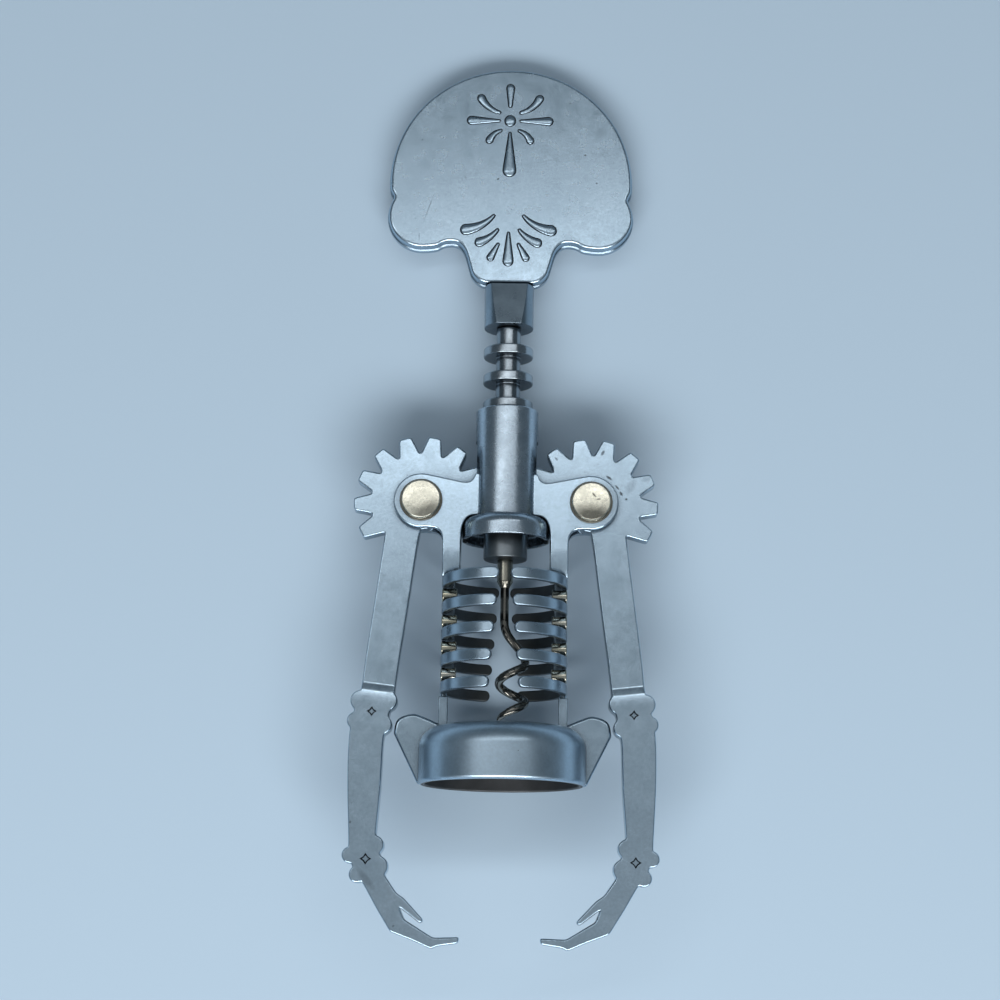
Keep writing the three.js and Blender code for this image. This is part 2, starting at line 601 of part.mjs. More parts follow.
function makeLever(side) {
  const place = (shares) => scaled(shares, LEVER_LENGTH, -PIVOT_X, PIVOT_Y);
  const face = (points) => (side < 0 ? points : mirrored(points));
  const hub = arcPoints(-PIVOT_X, PIVOT_Y, HUB_RADIUS, hubSweep.from, hubSweep.to);
  const upper = [
    ...gearPoints(-PIVOT_X, PIVOT_Y), ...place(upperArmOuterShares), ...place(upperArmInnerShares), ...hub,
  ];
  const lobes = [...elbowLobeShares, ...wristLobeShares].map(([x, y, radius]) => {
    const centre = place([[x, y]])[0];
    return disc(-side * centre.x, centre.y, radius * LEVER_LENGTH, FOREARM_THICKNESS);
  });
  const body = joined([
    centredPlate(face(upper), LEVER_THICKNESS),
    centredPlate(face(place(forearmShares)), FOREARM_THICKNESS),
    ...lobes,
  ]);
  const marks = markShares.flatMap(([x, y, halfDiagonal]) => [-1, 1].map((turn) => {
    const centre = place([[x, y]])[0];
    const reach = halfDiagonal * LEVER_LENGTH;
    const corners = arcPoints(-side * centre.x, centre.y, reach, 0, 270, 90);
    const low = FOREARM_THICKNESS / 2 - MARK_DEPTH;
    const high = FOREARM_THICKNESS / 2 + OVERRUN;
    return turn > 0 ? plate(corners, low, high) : plate(corners, -high, -low);
  }));
  const pivotHole = disc(side * PIVOT_X, PIVOT_Y, RIVET_RADIUS + RUNNING_GAP, LEVER_THICKNESS + OVERRUN);
  return cut(body, [...marks, pivotHole]);
}

// Rib: a band bent round the cage, open at front and back, with half-round ends
function makeRib(side, index) {
  const middleY = CAGE_TOP - RIB_HEIGHT / 2 - index * RIB_PITCH;
  const opening = TOP_RIB_HALF_OPENING + index * OPENING_GROWTH;
  const start = Math.asin(opening / CAGE_RADIUS);
  const endSweep = RIB_HEIGHT / 2 / CAGE_RADIUS;
  const stations = [];
  for (let i = 0; i < RIB_END_STEPS; i += 1) {
    const share = Math.PI / 2 * (i + 0.5) / RIB_END_STEPS;
    stations.push([start + endSweep * (1 - Math.cos(share)), Math.sin(share)]);
  }
  for (let i = 0; i <= RIB_STEPS; i += 1) {
    stations.push([start + endSweep + (Math.PI - 2 * (start + endSweep)) * i / RIB_STEPS, 1]);
  }
  for (let i = RIB_END_STEPS - 1; i >= 0; i -= 1) {
    stations.push([Math.PI - stations[i][0], stations[i][1]]);
  }
  const sections = stations.map(([angle, share]) => {
    const half = RIB_HEIGHT / 2 * share;
    const edge = Math.min(RIB_CHAMFER, half / 2);
    const corners = [
      [CAGE_RADIUS - CAGE_WALL, -half], [CAGE_RADIUS - edge, -half], [CAGE_RADIUS, -half + edge],
      [CAGE_RADIUS, half - edge], [CAGE_RADIUS - edge, half], [CAGE_RADIUS - CAGE_WALL, half],
    ];
    return corners.map(([radius, y]) => new THREE.Vector3(
      side * radius * Math.sin(angle), middleY + y, radius * Math.cos(angle),
    ));
  });
  return loft(side < 0 ? sections : sections.reverse());
}

// One side of the cage: its ribs, the pillar that joins them and a knuckle in each space
function makeCage(side) {
  const pieces = [];
  for (let i = 0; i < RIB_COUNT; i += 1) {
    pieces.push(makeRib(side, i));
  }
  const outer = CAGE_RADIUS - KNUCKLE_ROUND / 2;
  const pillarOuter = outer - KNUCKLE_ROUND - (KNUCKLE_LENGTH - PILLAR_WIDTH) / 2;
  const pillar = block(
    pillarOuter - PILLAR_WIDTH, pillarOuter, CAGE_Y + RIB_HEIGHT / 2, CAGE_TOP - RIB_HEIGHT / 2, PILLAR_DEPTH,
  );
  pieces.push(side > 0 ? pillar : pillar.rotateY(Math.PI));
  for (let i = 0; i + 1 < RIB_COUNT; i += 1) {
    const knuckle = turned([
      [0, outer - KNUCKLE_LENGTH], [KNUCKLE_RADIUS - KNUCKLE_ROUND, outer - KNUCKLE_LENGTH],
      [KNUCKLE_RADIUS, outer - KNUCKLE_LENGTH + KNUCKLE_ROUND], [KNUCKLE_RADIUS, outer - KNUCKLE_ROUND],
      [KNUCKLE_RADIUS - KNUCKLE_ROUND, outer], [0, outer],
    ], SMALL_ROUND_SEGMENTS / 2);
    const y = CAGE_TOP - RIB_HEIGHT / 2 - (i + 0.5) * RIB_PITCH;
    pieces.push(knuckle.rotateZ(-side * Math.PI / 2).translate(0, y, 0));
  }
  return joined(pieces);
}

function makePost(side) {
  const low = Math.min(side * (POST_X - POST_WIDTH / 2), side * (POST_X + POST_WIDTH / 2));
  return block(low, low + POST_WIDTH, POST_Y, POST_Y + POST_LENGTH, POST_DEPTH);
}

// Bell: a turned cup, open below for the bottle and through its roof for the cork
function bellProfile(growth) {
  const centre = BELL_RADIUS - BELL_SHOULDER;
  return arcPoints(centre, BELL_HEIGHT - BELL_SHOULDER, BELL_SHOULDER + growth, 0, 90, CORNER_STEP / 2)
    .map((p) => [p.x, p.y]);
}

function makeBell() {
  const innerCorner = arcPoints(
    BELL_RADIUS - BELL_SHOULDER, BELL_HEIGHT - BELL_SHOULDER, BELL_SHOULDER - BELL_WALL, 90, 0, CORNER_STEP,
  ).map((p) => [p.x, p.y]);
  const inner = BELL_RADIUS - BELL_WALL;
  return turned([
    [BELL_HOLE_RADIUS, BELL_HEIGHT - BELL_WALL], ...innerCorner, [inner, BELL_LIP_ROUND],
    [inner + BELL_LIP_ROUND, 0], [BELL_RADIUS - BELL_LIP_ROUND, 0], [BELL_RADIUS, BELL_LIP_ROUND],
    ...bellProfile(0), [BELL_HOLE_RADIUS, BELL_HEIGHT], [BELL_HOLE_RADIUS, BELL_HEIGHT - BELL_WALL],
  ], ROUND_SEGMENTS, Math.PI / ROUND_SEGMENTS);
}

// Hip: from the foot of its post it swells out to the closed lever and runs back to the bell's mouth
function makeWing(side) {
  const elbow = elbowLobeShares[elbowLobeShares.length - 1];
  const tipX = PIVOT_X - (elbow[0] + elbow[2]) * LEVER_LENGTH - WING_LEVER_GAP;
  const reach = tipX - BELL_RADIUS;
  const points = wingShares.map(([across, up]) => new THREE.Vector2(
    BELL_RADIUS + across * reach, up * BELL_HEIGHT,
  ));
  const root = new THREE.Vector2(POST_OUTER_X + SEAT_GAP, wingRootShare * BELL_HEIGHT);
  const crest = new THREE.SplineCurve([...points.slice(1), root]);
  const smooth = [points[0], ...crest.getPoints(2 * CURVE_STEPS), new THREE.Vector2(root.x, points[0].y)];
  const bell = turned([
    [0, -OVERRUN], [BELL_RADIUS + SEAT_GAP, -OVERRUN], ...bellProfile(SEAT_GAP), [0, BELL_HEIGHT + SEAT_GAP],
  ]);
  return cut(toSolid(centredPlate(side > 0 ? smooth : mirrored(smooth), WING_THICKNESS)), [bell]);
}

// The tool leans on a facet of the bell's shoulder and on the far edge of the skull
function lyingTilt() {
  const along = SKULL_CENTRE_Y + SKULL_RADIUS - SKULL_BEVEL - (BELL_HEIGHT - BELL_SHOULDER);
  const drop = (BELL_RADIUS - BELL_SHOULDER) * Math.cos(Math.PI / ROUND_SEGMENTS) - SKULL_THICKNESS / 2;
  return Math.atan2(drop, along) + Math.asin(BELL_SHOULDER / Math.hypot(along, drop));
}

const tool = new THREE.Group();

function addPiece(name, shape, material) {
  const geometry = shape.isBufferGeometry ? shape : toGeometry(shape);
  const mesh = new THREE.Mesh(geometry, material);
  mesh.name = name;
  tool.add(mesh);
}

addPiece('skull_plate', makeSkull(), materials.zinc);
addPiece('handle_shank', makeShank(), materials.zinc);
addPiece('spindle', makeSpindle(), materials.steel);
addPiece('rack_sleeve', makeRack(), materials.zinc);
addPiece('worm_socket', makeSocket(), materials.steel);
addPiece('worm_ferrule', makeFerrule(), materials.steel);
addPiece('worm', makeWorm(), materials.steel);
addPiece('guide_tube', makeGuideTube(), materials.zinc);
for (const [sideName, side] of [['left', -1], ['right', 1]]) {
  addPiece(`${sideName}_back_cheek`, makeCheek(side, 1), materials.zinc);
  addPiece(`${sideName}_front_cheek`, makeCheek(side, -1), materials.zinc);
  addPiece(`${sideName}_rivet`, makeRivet(side), materials.brass);
  addPiece(`${sideName}_lever`, makeLever(side), materials.zinc);
  addPiece(`${sideName}_rib_cage`, makeCage(side), materials.zinc);
  addPiece(`${sideName}_cage_post`, makePost(side), materials.zinc);
  addPiece(`${sideName}_hip_wing`, makeWing(side), materials.zinc);
}
addPiece('bell_cup', makeBell(), materials.zinc);

// Lay the tool down and put the origin under the middle of its box
tool.rotation.x = -lyingTilt();
const corkscrew = new THREE.Group();
corkscrew.add(tool);
corkscrew.updateMatrixWorld(true);
const bounds = new THREE.Box3().setFromObject(corkscrew, true);
tool.position.set(-(bounds.min.x + bounds.max.x) / 2, -(bounds.min.y + bounds.max.y) / 2, -bounds.min.z);
corkscrew.updateMatrixWorld(true);

export default corkscrew;
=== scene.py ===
# %% [markdown]
# # A wing corkscrew in the form of a skeleton
# A skull is the handle, a ringed rack is the spine, two geared levers are the arms, and a cage of ribs
# stands on a bell that sits on the bottle. Everything is die-cast zinc, but for two brass rivets and the
# steel worm. The CAD model is loaded as a fixed frame, and each piece is then modelled over its CAD node
# with softer edges and a finish of its own.

# %% Load the frame
import json
from math import asin, atan2, copysign, cos, degrees, hypot, pi, radians, sin, sqrt, tan

import bmesh
import bpy
from mathutils import Matrix, Vector, geometry


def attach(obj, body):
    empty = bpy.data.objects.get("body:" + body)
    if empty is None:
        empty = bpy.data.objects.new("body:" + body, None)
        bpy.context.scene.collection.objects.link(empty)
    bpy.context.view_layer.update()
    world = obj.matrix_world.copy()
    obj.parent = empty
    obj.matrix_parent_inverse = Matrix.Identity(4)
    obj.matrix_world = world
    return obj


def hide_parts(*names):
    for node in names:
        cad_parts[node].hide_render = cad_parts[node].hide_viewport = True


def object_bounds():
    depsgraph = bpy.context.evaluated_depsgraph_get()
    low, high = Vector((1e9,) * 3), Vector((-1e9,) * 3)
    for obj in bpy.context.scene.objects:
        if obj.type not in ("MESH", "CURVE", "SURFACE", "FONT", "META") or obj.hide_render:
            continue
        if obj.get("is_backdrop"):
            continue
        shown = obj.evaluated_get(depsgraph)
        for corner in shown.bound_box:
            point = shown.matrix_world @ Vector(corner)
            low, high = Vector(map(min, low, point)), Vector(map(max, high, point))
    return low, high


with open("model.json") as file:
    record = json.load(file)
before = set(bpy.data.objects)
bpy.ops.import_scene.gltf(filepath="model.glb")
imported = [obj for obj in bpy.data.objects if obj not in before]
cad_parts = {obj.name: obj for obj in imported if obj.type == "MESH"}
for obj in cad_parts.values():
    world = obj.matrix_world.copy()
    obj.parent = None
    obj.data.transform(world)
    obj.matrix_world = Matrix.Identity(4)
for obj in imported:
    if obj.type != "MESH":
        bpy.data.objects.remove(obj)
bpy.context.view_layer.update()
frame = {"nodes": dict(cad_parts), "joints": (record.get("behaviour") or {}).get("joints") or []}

# %% [markdown]
# ## The tool's own frame
# The corkscrew lies on its face, tilted by a few degrees, so its pieces are modelled in a frame of its own,
# in millimetres: +Y runs up the screw from the bell's mouth, +X crosses the levers and +Z leaves the back of
# the skull. The joints give the axes, the bell the origin, and one matrix lays each piece in its place.

# %% From the tool's frame to the room
MM = 0.001
SIDES = (("left", -1), ("right", 1))
joints = {joint["name"]: joint for joint in frame["joints"]}
left_pivot = Vector(joints["left_lever_swing"]["pos_m"])
right_pivot = Vector(joints["right_lever_swing"]["pos_m"])
ACROSS = (right_pivot - left_pivot).normalized()
UP = Vector(joints["screw_turn"]["axis"]).normalized()
OUT = ACROSS.cross(UP)
between = (left_pivot + right_pivot) / 2
mouth = min((vertex.co - between).dot(UP) for vertex in frame["nodes"]["bell_cup"].data.vertices)
axes = Matrix((ACROSS, UP, OUT)).transposed().to_4x4()
TO_ROOM = Matrix.Translation(between + UP * mouth) @ axes @ Matrix.Scale(MM, 4)
TO_TOOL = TO_ROOM.inverted()


def span(node):
    """Lowest and highest corner of a CAD node in the tool's frame, in millimetres."""
    points = [TO_TOOL @ vertex.co for vertex in frame["nodes"][node].data.vertices]
    return Vector(map(min, zip(*points))), Vector(map(max, zip(*points)))


PIVOT_X = (right_pivot - left_pivot).length / 2 / MM
PIVOT_Y = -mouth / MM
print(f"pivots at {PIVOT_X:.2f} across and {PIVOT_Y:.2f} up the screw")

# %% [markdown]
# ## Outlines
# Most pieces start as a flat line: half of a turned piece, or the outline of a plate. These helpers make
# arcs, soft curves and rounded corners, so that a line needs only the few points that its shape really has.

# %% Curves for outlines


def polar(x, y, radius, angle):
    """The point at an angle in degrees on a circle."""
    turn = radians(angle)
    return Vector((x + radius * cos(turn), y + radius * sin(turn)))


def arc(x, y, radius, start, end, steps):
    """Points on a circle from one angle to another, in degrees."""
    return [polar(x, y, radius, start + (end - start) * i / steps) for i in range(steps + 1)]


def bend(start, corner, end, steps=8):
    """A curve that leaves start towards corner, and comes to end from it."""
    start, corner, end = Vector(start), Vector(corner), Vector(end)
    shares = [i / steps for i in range(steps + 1)]
    return [start.lerp(corner, share).lerp(corner.lerp(end, share), share) for share in shares]


def spline(points, steps=6):
    """A smooth curve through every point."""
    curve = [points[0]]
    padded = [points[0], *points, points[-1]]
    for before, start, end, after in zip(padded, padded[1:], padded[2:], padded[3:]):
        leave = start + (end - before) / 6
        arrive = end - (after - start) / 6
        curve += geometry.interpolate_bezier(start, leave, arrive, end, steps + 1)[1:]
    return [Vector(point[:2]) for point in curve]


def filleted(corners, steps=5):
    """A closed line through corners of (x, y, radius), each rounded by its radius."""
    line = []
    for index, (x, y, radius) in enumerate(corners):
        corner = Vector((x, y))
        if radius == 0:
            line.append(corner)
            continue
        before = (Vector(corners[index - 1][:2]) - corner).normalized()
        after = (Vector(corners[(index + 1) % len(corners)][:2]) - corner).normalized()
        half = before.angle(after) / 2
        centre = corner + (before + after).normalized() * radius / sin(half)
        start = corner + before * radius / tan(half) - centre
        end = corner + after * radius / tan(half) - centre
        line += [centre + start.lerp(end, i / steps).normalized() * radius for i in range(steps + 1)]
    return line


def softened(corners, spacing, passes):
    """The closed line in short even steps, with its corners eased."""
    points = []
    for start, end in zip(corners, [*corners[1:], corners[0]]):
        count = max(1, round((end - start).length / spacing))
        points += [start.lerp(end, i / count) for i in range(count)]
    for _ in range(passes):
        following = [*points[1:], points[0]]
        points = [(points[i - 1] + 2 * points[i] + following[i]) / 4 for i in range(len(points))]
    return points


def mirrored(points):
    """The same line on the other side of the screw, run the other way."""
    return [Vector((-point.x, point.y)) for point in reversed(points)]


print("curves: polar, arc, bend, spline, filleted, softened, mirrored")

# %% [markdown]
# ## Solids
# Two kinds of solid make nearly the whole tool. A turned piece is a profile spun round the screw. A plate is
# an outline drawn up into a slab, whose rims are then rounded by a few insets: each inset steps inwards and
# upwards along a quarter circle. The flat faces stay truly flat, as on a tumbled casting, and only the soft
# rims catch the light.

# %% Turned pieces and plates
WELD = 1e-5
ROUND_STEPS = 96


def turned(profile, steps=ROUND_STEPS):
    """Spins a closed profile of (radius, height) about the screw; points on the axis become poles."""
    bm = bmesh.new()
    verts = [bm.verts.new((point[0], point[1], 0)) for point in profile]
    pairs = [(verts[i - 1], verts[i]) for i in range(len(verts))]
    edges = [bm.edges.new(pair) for pair in pairs if max(vertex.co.x for vertex in pair) > WELD]
    bmesh.ops.spin(
        bm, geom=verts + edges, cent=(0, 0, 0), axis=(0, 1, 0), dvec=(0, 0, 0),
        angle=2 * pi, steps=steps, use_merge=True, use_duplicate=False,
    )
    bmesh.ops.remove_doubles(bm, verts=bm.verts, dist=WELD)
    bmesh.ops.recalc_face_normals(bm, faces=bm.faces)
    return bm


def rim(radius, steps=6):
    """Insets that round a rim: (inwards, upwards) steps along a quarter circle."""
    angles = [pi / 2 * i / steps for i in range(steps + 1)]
    return [
        (radius * (cos(low) - cos(high)), radius * (sin(high) - sin(low)))
        for low, high in zip(angles, angles[1:])
    ]


def plate(outline, low, high, top, bottom):
    """A slab between two heights, whose top and bottom rims are shaped by (inwards, upwards) steps."""
    bm = bmesh.new()
    floor_height = low + sum(rise for _, rise in bottom)
    wall = high - sum(rise for _, rise in top) - floor_height
    floor = bm.faces.new([bm.verts.new((point.x, point.y, floor_height)) for point in outline])
    lifted = bmesh.ops.extrude_face_region(bm, geom=[floor])["geom"]
    roof = next(item for item in lifted if isinstance(item, bmesh.types.BMFace))
    bmesh.ops.translate(bm, verts=roof.verts, vec=(0, 0, wall))
    bmesh.ops.recalc_face_normals(bm, faces=bm.faces)
    for face, steps in ((roof, top), (floor, bottom)):
        for inwards, upwards in steps:
            bmesh.ops.inset_region(
                bm, faces=[face], thickness=inwards, depth=upwards, use_boundary=True, use_even_offset=True,
            )
    return bm


def block(low, high, edge=0):
    """A box between two corners, with its edges rounded."""
    bm = bmesh.new()
    low, high = Vector(low), Vector(high)
    bmesh.ops.create_cube(bm, size=1, matrix=Matrix.LocRotScale((low + high) / 2, None, high - low))
    if edge:
        bmesh.ops.bevel(
            bm, geom=bm.edges, offset=edge, segments=3, profile=0.5, affect="EDGES", material=-1,
        )
    return bm


def sliced(bm, place, normal, **settings):
    """Cuts a solid across at a plane; returns what the cut made."""
    geom = bm.verts[:] + bm.edges[:] + bm.faces[:]
    return bmesh.ops.bisect_plane(bm, geom=geom, dist=WELD, plane_co=place, plane_no=normal, **settings)


def meshed(name, bm):
    """Moves a solid into a mesh of its own."""
    mesh = bpy.data.meshes.new(name)
    bm.to_mesh(mesh)
    bm.free()
    return mesh


def added(name, data):
    """A new object in the scene that shows a mesh, a curve, a camera or a light."""
    item = bpy.data.objects.new(name, data)
    bpy.context.scene.collection.objects.link(item)
    return item


def together(first, *others):
    """Puts the shells of several solids in one mesh."""
    for other in others:
        mesh = meshed("shell", other)
        first.from_mesh(mesh)
        bpy.data.meshes.remove(mesh)
    return first


def carved(*solids):
    """The first solid less the others, by an exact boolean."""
    objects = [added("solid", meshed("solid", solid)) for solid in solids]
    for cutter in objects[1:]:
        modifier = objects[0].modifiers.new("cut", "BOOLEAN")
        modifier.operation = "DIFFERENCE"
        modifier.solver = "EXACT"
        modifier.object = cutter
    result = bmesh.new()
    result.from_object(objects[0], bpy.context.evaluated_depsgraph_get())
    for item in objects:
        bpy.data.meshes.remove(item.data)
    return result


print("solids: turned, plate, block, sliced, together, carved")

# %% [markdown]
# ## Putting a piece in its place
# A finished solid is laid in the room by the one matrix and shaded smooth. The edges round its flat faces
# are kept sharp, so that a flat face is lit evenly to its border. It then rides on its CAD body and stands
# for its CAD node.

# %% Finish a piece
SHARP_ANGLE = radians(38)
FLAT = 0.99999


def finish_piece(name, bm, node, materials, body="frame"):
    """Lays a solid in the room, hides the CAD node that it stands for and lets it ride on its body."""
    bm.normal_update()
    for face in bm.faces:
        face.smooth = True
    for edge in bm.edges:
        flats = sum(abs(face.normal.z) > FLAT for face in edge.link_faces)
        edge.smooth = edge.calc_face_angle(0) < SHARP_ANGLE and flats != 1
    bm.transform(TO_ROOM)
    mesh = meshed(name, bm)
    for material in materials:
        mesh.materials.append(material)
    piece = added(name, mesh)
    even = piece.modifiers.new("even shading", "WEIGHTED_NORMAL")
    even.keep_sharp = True
    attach(piece, body)
    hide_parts(node)
    print(f"{name}: {len(mesh.polygons)} faces on {body}")
    return piece


# %% [markdown]
# ## Satin zinc
# The real castings are tumbled zinc with a thin bright plating: blue-grey, softly mirrored and never quite
# even. Their blue is partly the plating's own tint and partly a painted reflection of blue surroundings. So
# a base colour gets layers: cloudy patches, fine grain, dark pits, marks at chosen places (some of them
# painted shade), and painted shade from ambient occlusion in hollows, on sides near the floor and where
# pieces meet. They come from noise on Object coordinates and from ambient occlusion, so they stay put from
# every side.

# %% A material builder for worn metal
# Reach of the ambient occlusion in millimetres that paints shade: a haze of painted shade over whole hollows
# and sides near the floor, and a dark line of painted shade where two pieces meet
FAR = 45
NEAR = 4
# Waves per metre of three noise patterns, and the part of their range that counts
CLOUD_SCALE = 70
POLISH_SCALE = 300
GRAIN_SCALE = 1500
NOISE_RANGE = (0.3, 0.7)
GRAIN_RANGE = (0.35, 0.7)
# Height of the grain in millimetres, and the share of a mark that has its full strength
GRAIN_RELIEF = 0.012
MARK_CORE = 0.4
# Spacing and radius of the pits in millimetres, and the share of places that have one
PITS = (2.6, 0.13, 0.3)


def dimmed(colour, share):
    """The colour at a share of its brightness."""
    return tuple(channel * share for channel in colour)


def feed(node, inputs):
    """Gives a node its inputs: numbers, colours or the outputs of other nodes; returns its own outputs."""
    for key, value in inputs.items():
        socket = node.inputs[key]
        if isinstance(value, bpy.types.NodeSocket):
            node.id_data.links.new(value, socket)
        else:
            socket.default_value = (*value, 1) if socket.type == "RGBA" else value
    return node.outputs


def add_node(tree, kind, inputs, **settings):
    """Adds a shader node with its inputs and settings; returns its outputs."""
    node = tree.nodes.new(f"ShaderNode{kind}")
    for key, value in settings.items():
        setattr(node, key, value)
    return feed(node, inputs)


def link_noise(tree, place, scale, detail):
    """A noise pattern at a scale in waves per metre."""
    return add_node(tree, "TexNoise", {"Vector": place, "Scale": scale, "Detail": detail})["Fac"]


def link_range(tree, value, low, high, to_low=0.0, to_high=1.0):
    """Spreads values between low and high over a new range."""
    ends = {"From Min": low, "From Max": high, "To Min": to_low, "To Max": to_high}
    return add_node(tree, "MapRange", {"Value": value, **ends})["Result"]


def link_mark(tree, place, mark):
    """A soft long spot of (x, y, z, length, width, angle, strength) on the tool."""
    x, y, z, length, width, angle, strength = mark
    turn = axes @ Matrix.Rotation(radians(angle), 4, "Z")
    spot = add_node(tree, "Mapping", {
        "Vector": place, "Location": TO_ROOM @ Vector((x, y, z)), "Rotation": turn.to_euler(),
        "Scale": (length * MM / 2, width * MM / 2, MM),
    }, vector_type="TEXTURE")["Vector"]
    reach = add_node(tree, "VectorMath", {0: spot}, operation="LENGTH")["Value"]
    return link_range(tree, reach, 1, MARK_CORE, 0, strength)


def link_dots(tree, place, spacing, size, share):
    """Small round dots in some cells of a Voronoi pattern, in millimetres."""
    cells = add_node(tree, "TexVoronoi", {"Vector": place, "Scale": 1 / (spacing * MM)})
    near = link_range(tree, cells["Distance"], size / spacing, size / spacing * 0.5)
    chosen = link_range(tree, cells["Color"], share, share - 0.02)
    return add_node(tree, "Math", {0: near, 1: chosen}, operation="MULTIPLY")["Value"]


def link_occlusion_shade(tree, distance, open_share, closed_share, strength):
    """Painted shade from ambient occlusion, where the surface is closed in within a distance in millimetres.
    """
    openness = add_node(tree, "AmbientOcclusion", {"Distance": distance * MM}, samples=8)["AO"]
    return link_range(tree, openness, open_share, closed_share, 0, strength)


def worn_metal(name, colour, shade, roughness, corner_shade=0.6, depth=0.55, speckle=0.22, marks=()):
    """Metal of a colour that clouds over to a darker shade, with grain, pits and marks, and with painted
    shade in hollows and corners.
    """
    material = bpy.data.materials.new(name)
    material.use_nodes = True
    tree = material.node_tree
    place = add_node(tree, "TexCoord", {})["Object"]
    grain = link_noise(tree, place, GRAIN_SCALE, 3)
    # Each layer: where it shows, and its colour
    layers = [
        (link_range(tree, link_noise(tree, place, CLOUD_SCALE, 3), *NOISE_RANGE), shade),
        (link_range(tree, grain, *GRAIN_RANGE, 0, speckle), dimmed(colour, 0.55)),
        (link_dots(tree, place, *PITS), dimmed(colour, 0.18)),
        *[(link_mark(tree, place, mark), dimmed(colour, 0.12)) for mark in marks],
        # The last two layers are painted shade from ambient occlusion: a haze over hollows and sides near
        # the floor, and a dark line where pieces meet
        (link_occlusion_shade(tree, FAR, 0.88, 0.35, depth), dimmed(colour, 0.2)),
        (link_occlusion_shade(tree, NEAR, 0.72, 0.25, corner_shade), dimmed(colour, 0.06)),
    ]
    base = colour
    for share, tint in layers:
        base = add_node(tree, "Mix", {6: base, 7: tint, "Factor": share}, data_type="RGBA")[2]
    polish = link_noise(tree, place, POLISH_SCALE, 4)
    rough = link_range(tree, polish, *NOISE_RANGE, roughness - 0.04, roughness + 0.05)
    relief = {"Strength": 0.3, "Distance": GRAIN_RELIEF * MM, "Height": grain}
    normal = add_node(tree, "Bump", relief)["Normal"]
    surface = {"Metallic": 1.0, "Base Color": base, "Roughness": rough, "Normal": normal}
    feed(tree.nodes["Principled BSDF"], surface)
    return material


# Blue-grey: partly the zinc's own tint and partly a painted reflection of blue surroundings
ZINC = (0.5, 0.64, 0.76)
ZINC_SHADE = (0.45, 0.585, 0.7)
zinc = worn_metal("satin_zinc", ZINC, ZINC_SHADE, 0.22)
# The ribs and the bell take strong painted shade over their hollows and sides
cast_zinc = worn_metal("cast_zinc", dimmed(ZINC, 0.94), dimmed(ZINC_SHADE, 0.9), 0.3, depth=0.9)
bell_zinc = worn_metal("bell_zinc", ZINC, dimmed(ZINC_SHADE, 0.9), 0.35, depth=1)
print("materials", zinc.name, cast_zinc.name, bell_zinc.name)

# %% [markdown]
# ## The bell
# The bell is a turned cup, open below for the bottle and through its roof for the cork. Its shoulder is a
# wide round, and its narrow lip catches a bright line. The inside was never polished, so the inner faces get
# a rough dark finish, chosen by how deep they lie under the outer skin.

# %% Turn the bell
BELL_WALL = 1.8
BELL_SHOULDER = 5.4
BELL_HOLE_RADIUS = 11.5
LIP_ROUND = 1
INNER_LIP_ROUND = 0.4
HOLE_ROUND = 0.3

raw_zinc = worn_metal("raw_zinc", (0.2, 0.21, 0.22), (0.08, 0.085, 0.09), 0.6)
bell_radius, bell_height = span("bell_cup")[1].xy
ceiling = bell_height - BELL_WALL
bell = turned(filleted([
    (BELL_HOLE_RADIUS, bell_height, HOLE_ROUND), (BELL_HOLE_RADIUS, ceiling, HOLE_ROUND),
    (bell_radius - BELL_WALL, ceiling, BELL_SHOULDER - BELL_WALL),
    (bell_radius - BELL_WALL, 0, INNER_LIP_ROUND), (bell_radius, 0, LIP_ROUND),
    (bell_radius, bell_height, BELL_SHOULDER),
], 8))
turning = Vector((bell_radius - BELL_SHOULDER, bell_height - BELL_SHOULDER))
for face in bell.faces:
    centre = face.calc_center_median()
    spot = Vector((hypot(centre.x, centre.z), centre.y)) - turning
    depth = BELL_SHOULDER - Vector((max(spot.x, 0), max(spot.y, 0))).length
    if depth > BELL_WALL / 2:
        face.material_index = 1
finish_piece("bell", bell, "bell_cup", [bell_zinc, raw_zinc])

# %% [markdown]
# ## Hips and posts
# Two flat hips stop the closed levers beside the bell, and two square posts with thin necks carry the ribs.
# A hip's outline is eased only where it shows: inside the bell's wall its corners stay sharp, since the rim
# is wider than an eased corner and would cross itself there.

# %% Hips
WING_THICKNESS = 3
WING_SHARES = [(0, 0), (1, 0.87), (0.86, 1.11), (0.3, 1.215), (-0.2, 1.165)]
WING_SINK = 2
HIP_RIM = 0.75
BURIED = 1.6
HIP_SPACING = 0.5


def hip_outline():
    """The right hip: from the bell's mouth out to the lever, over the shoulder and back inside the wall."""
    reach = span("right_hip_wing")[1].x - bell_radius
    points = [Vector((bell_radius + across * reach, up * bell_height)) for across, up in WING_SHARES]
    root = Vector((span("right_hip_wing")[0].x - WING_SINK, bell_height))
    crest = spline([*points[1:], root], 8)
    deep_root = root - Vector((0, BURIED))
    low_end = Vector((bell_radius - BURIED, 0))
    eased = softened([points[0], *crest, deep_root, low_end], HIP_SPACING, 1)
    ends = [i for i, point in enumerate(eased) if point.x < root.x + HIP_SPACING]
    return [*eased[:ends[0]], root, deep_root, *arc(*turning, BELL_SHOULDER - BURIED, 90, 0, 6), low_end]


for side, sign in SIDES:
    outline = hip_outline() if sign > 0 else mirrored(hip_outline())
    hip = plate(outline, -WING_THICKNESS / 2, WING_THICKNESS / 2, rim(HIP_RIM), rim(HIP_RIM))
    finish_piece(f"{side}_hip", hip, f"{side}_hip_wing", [zinc])

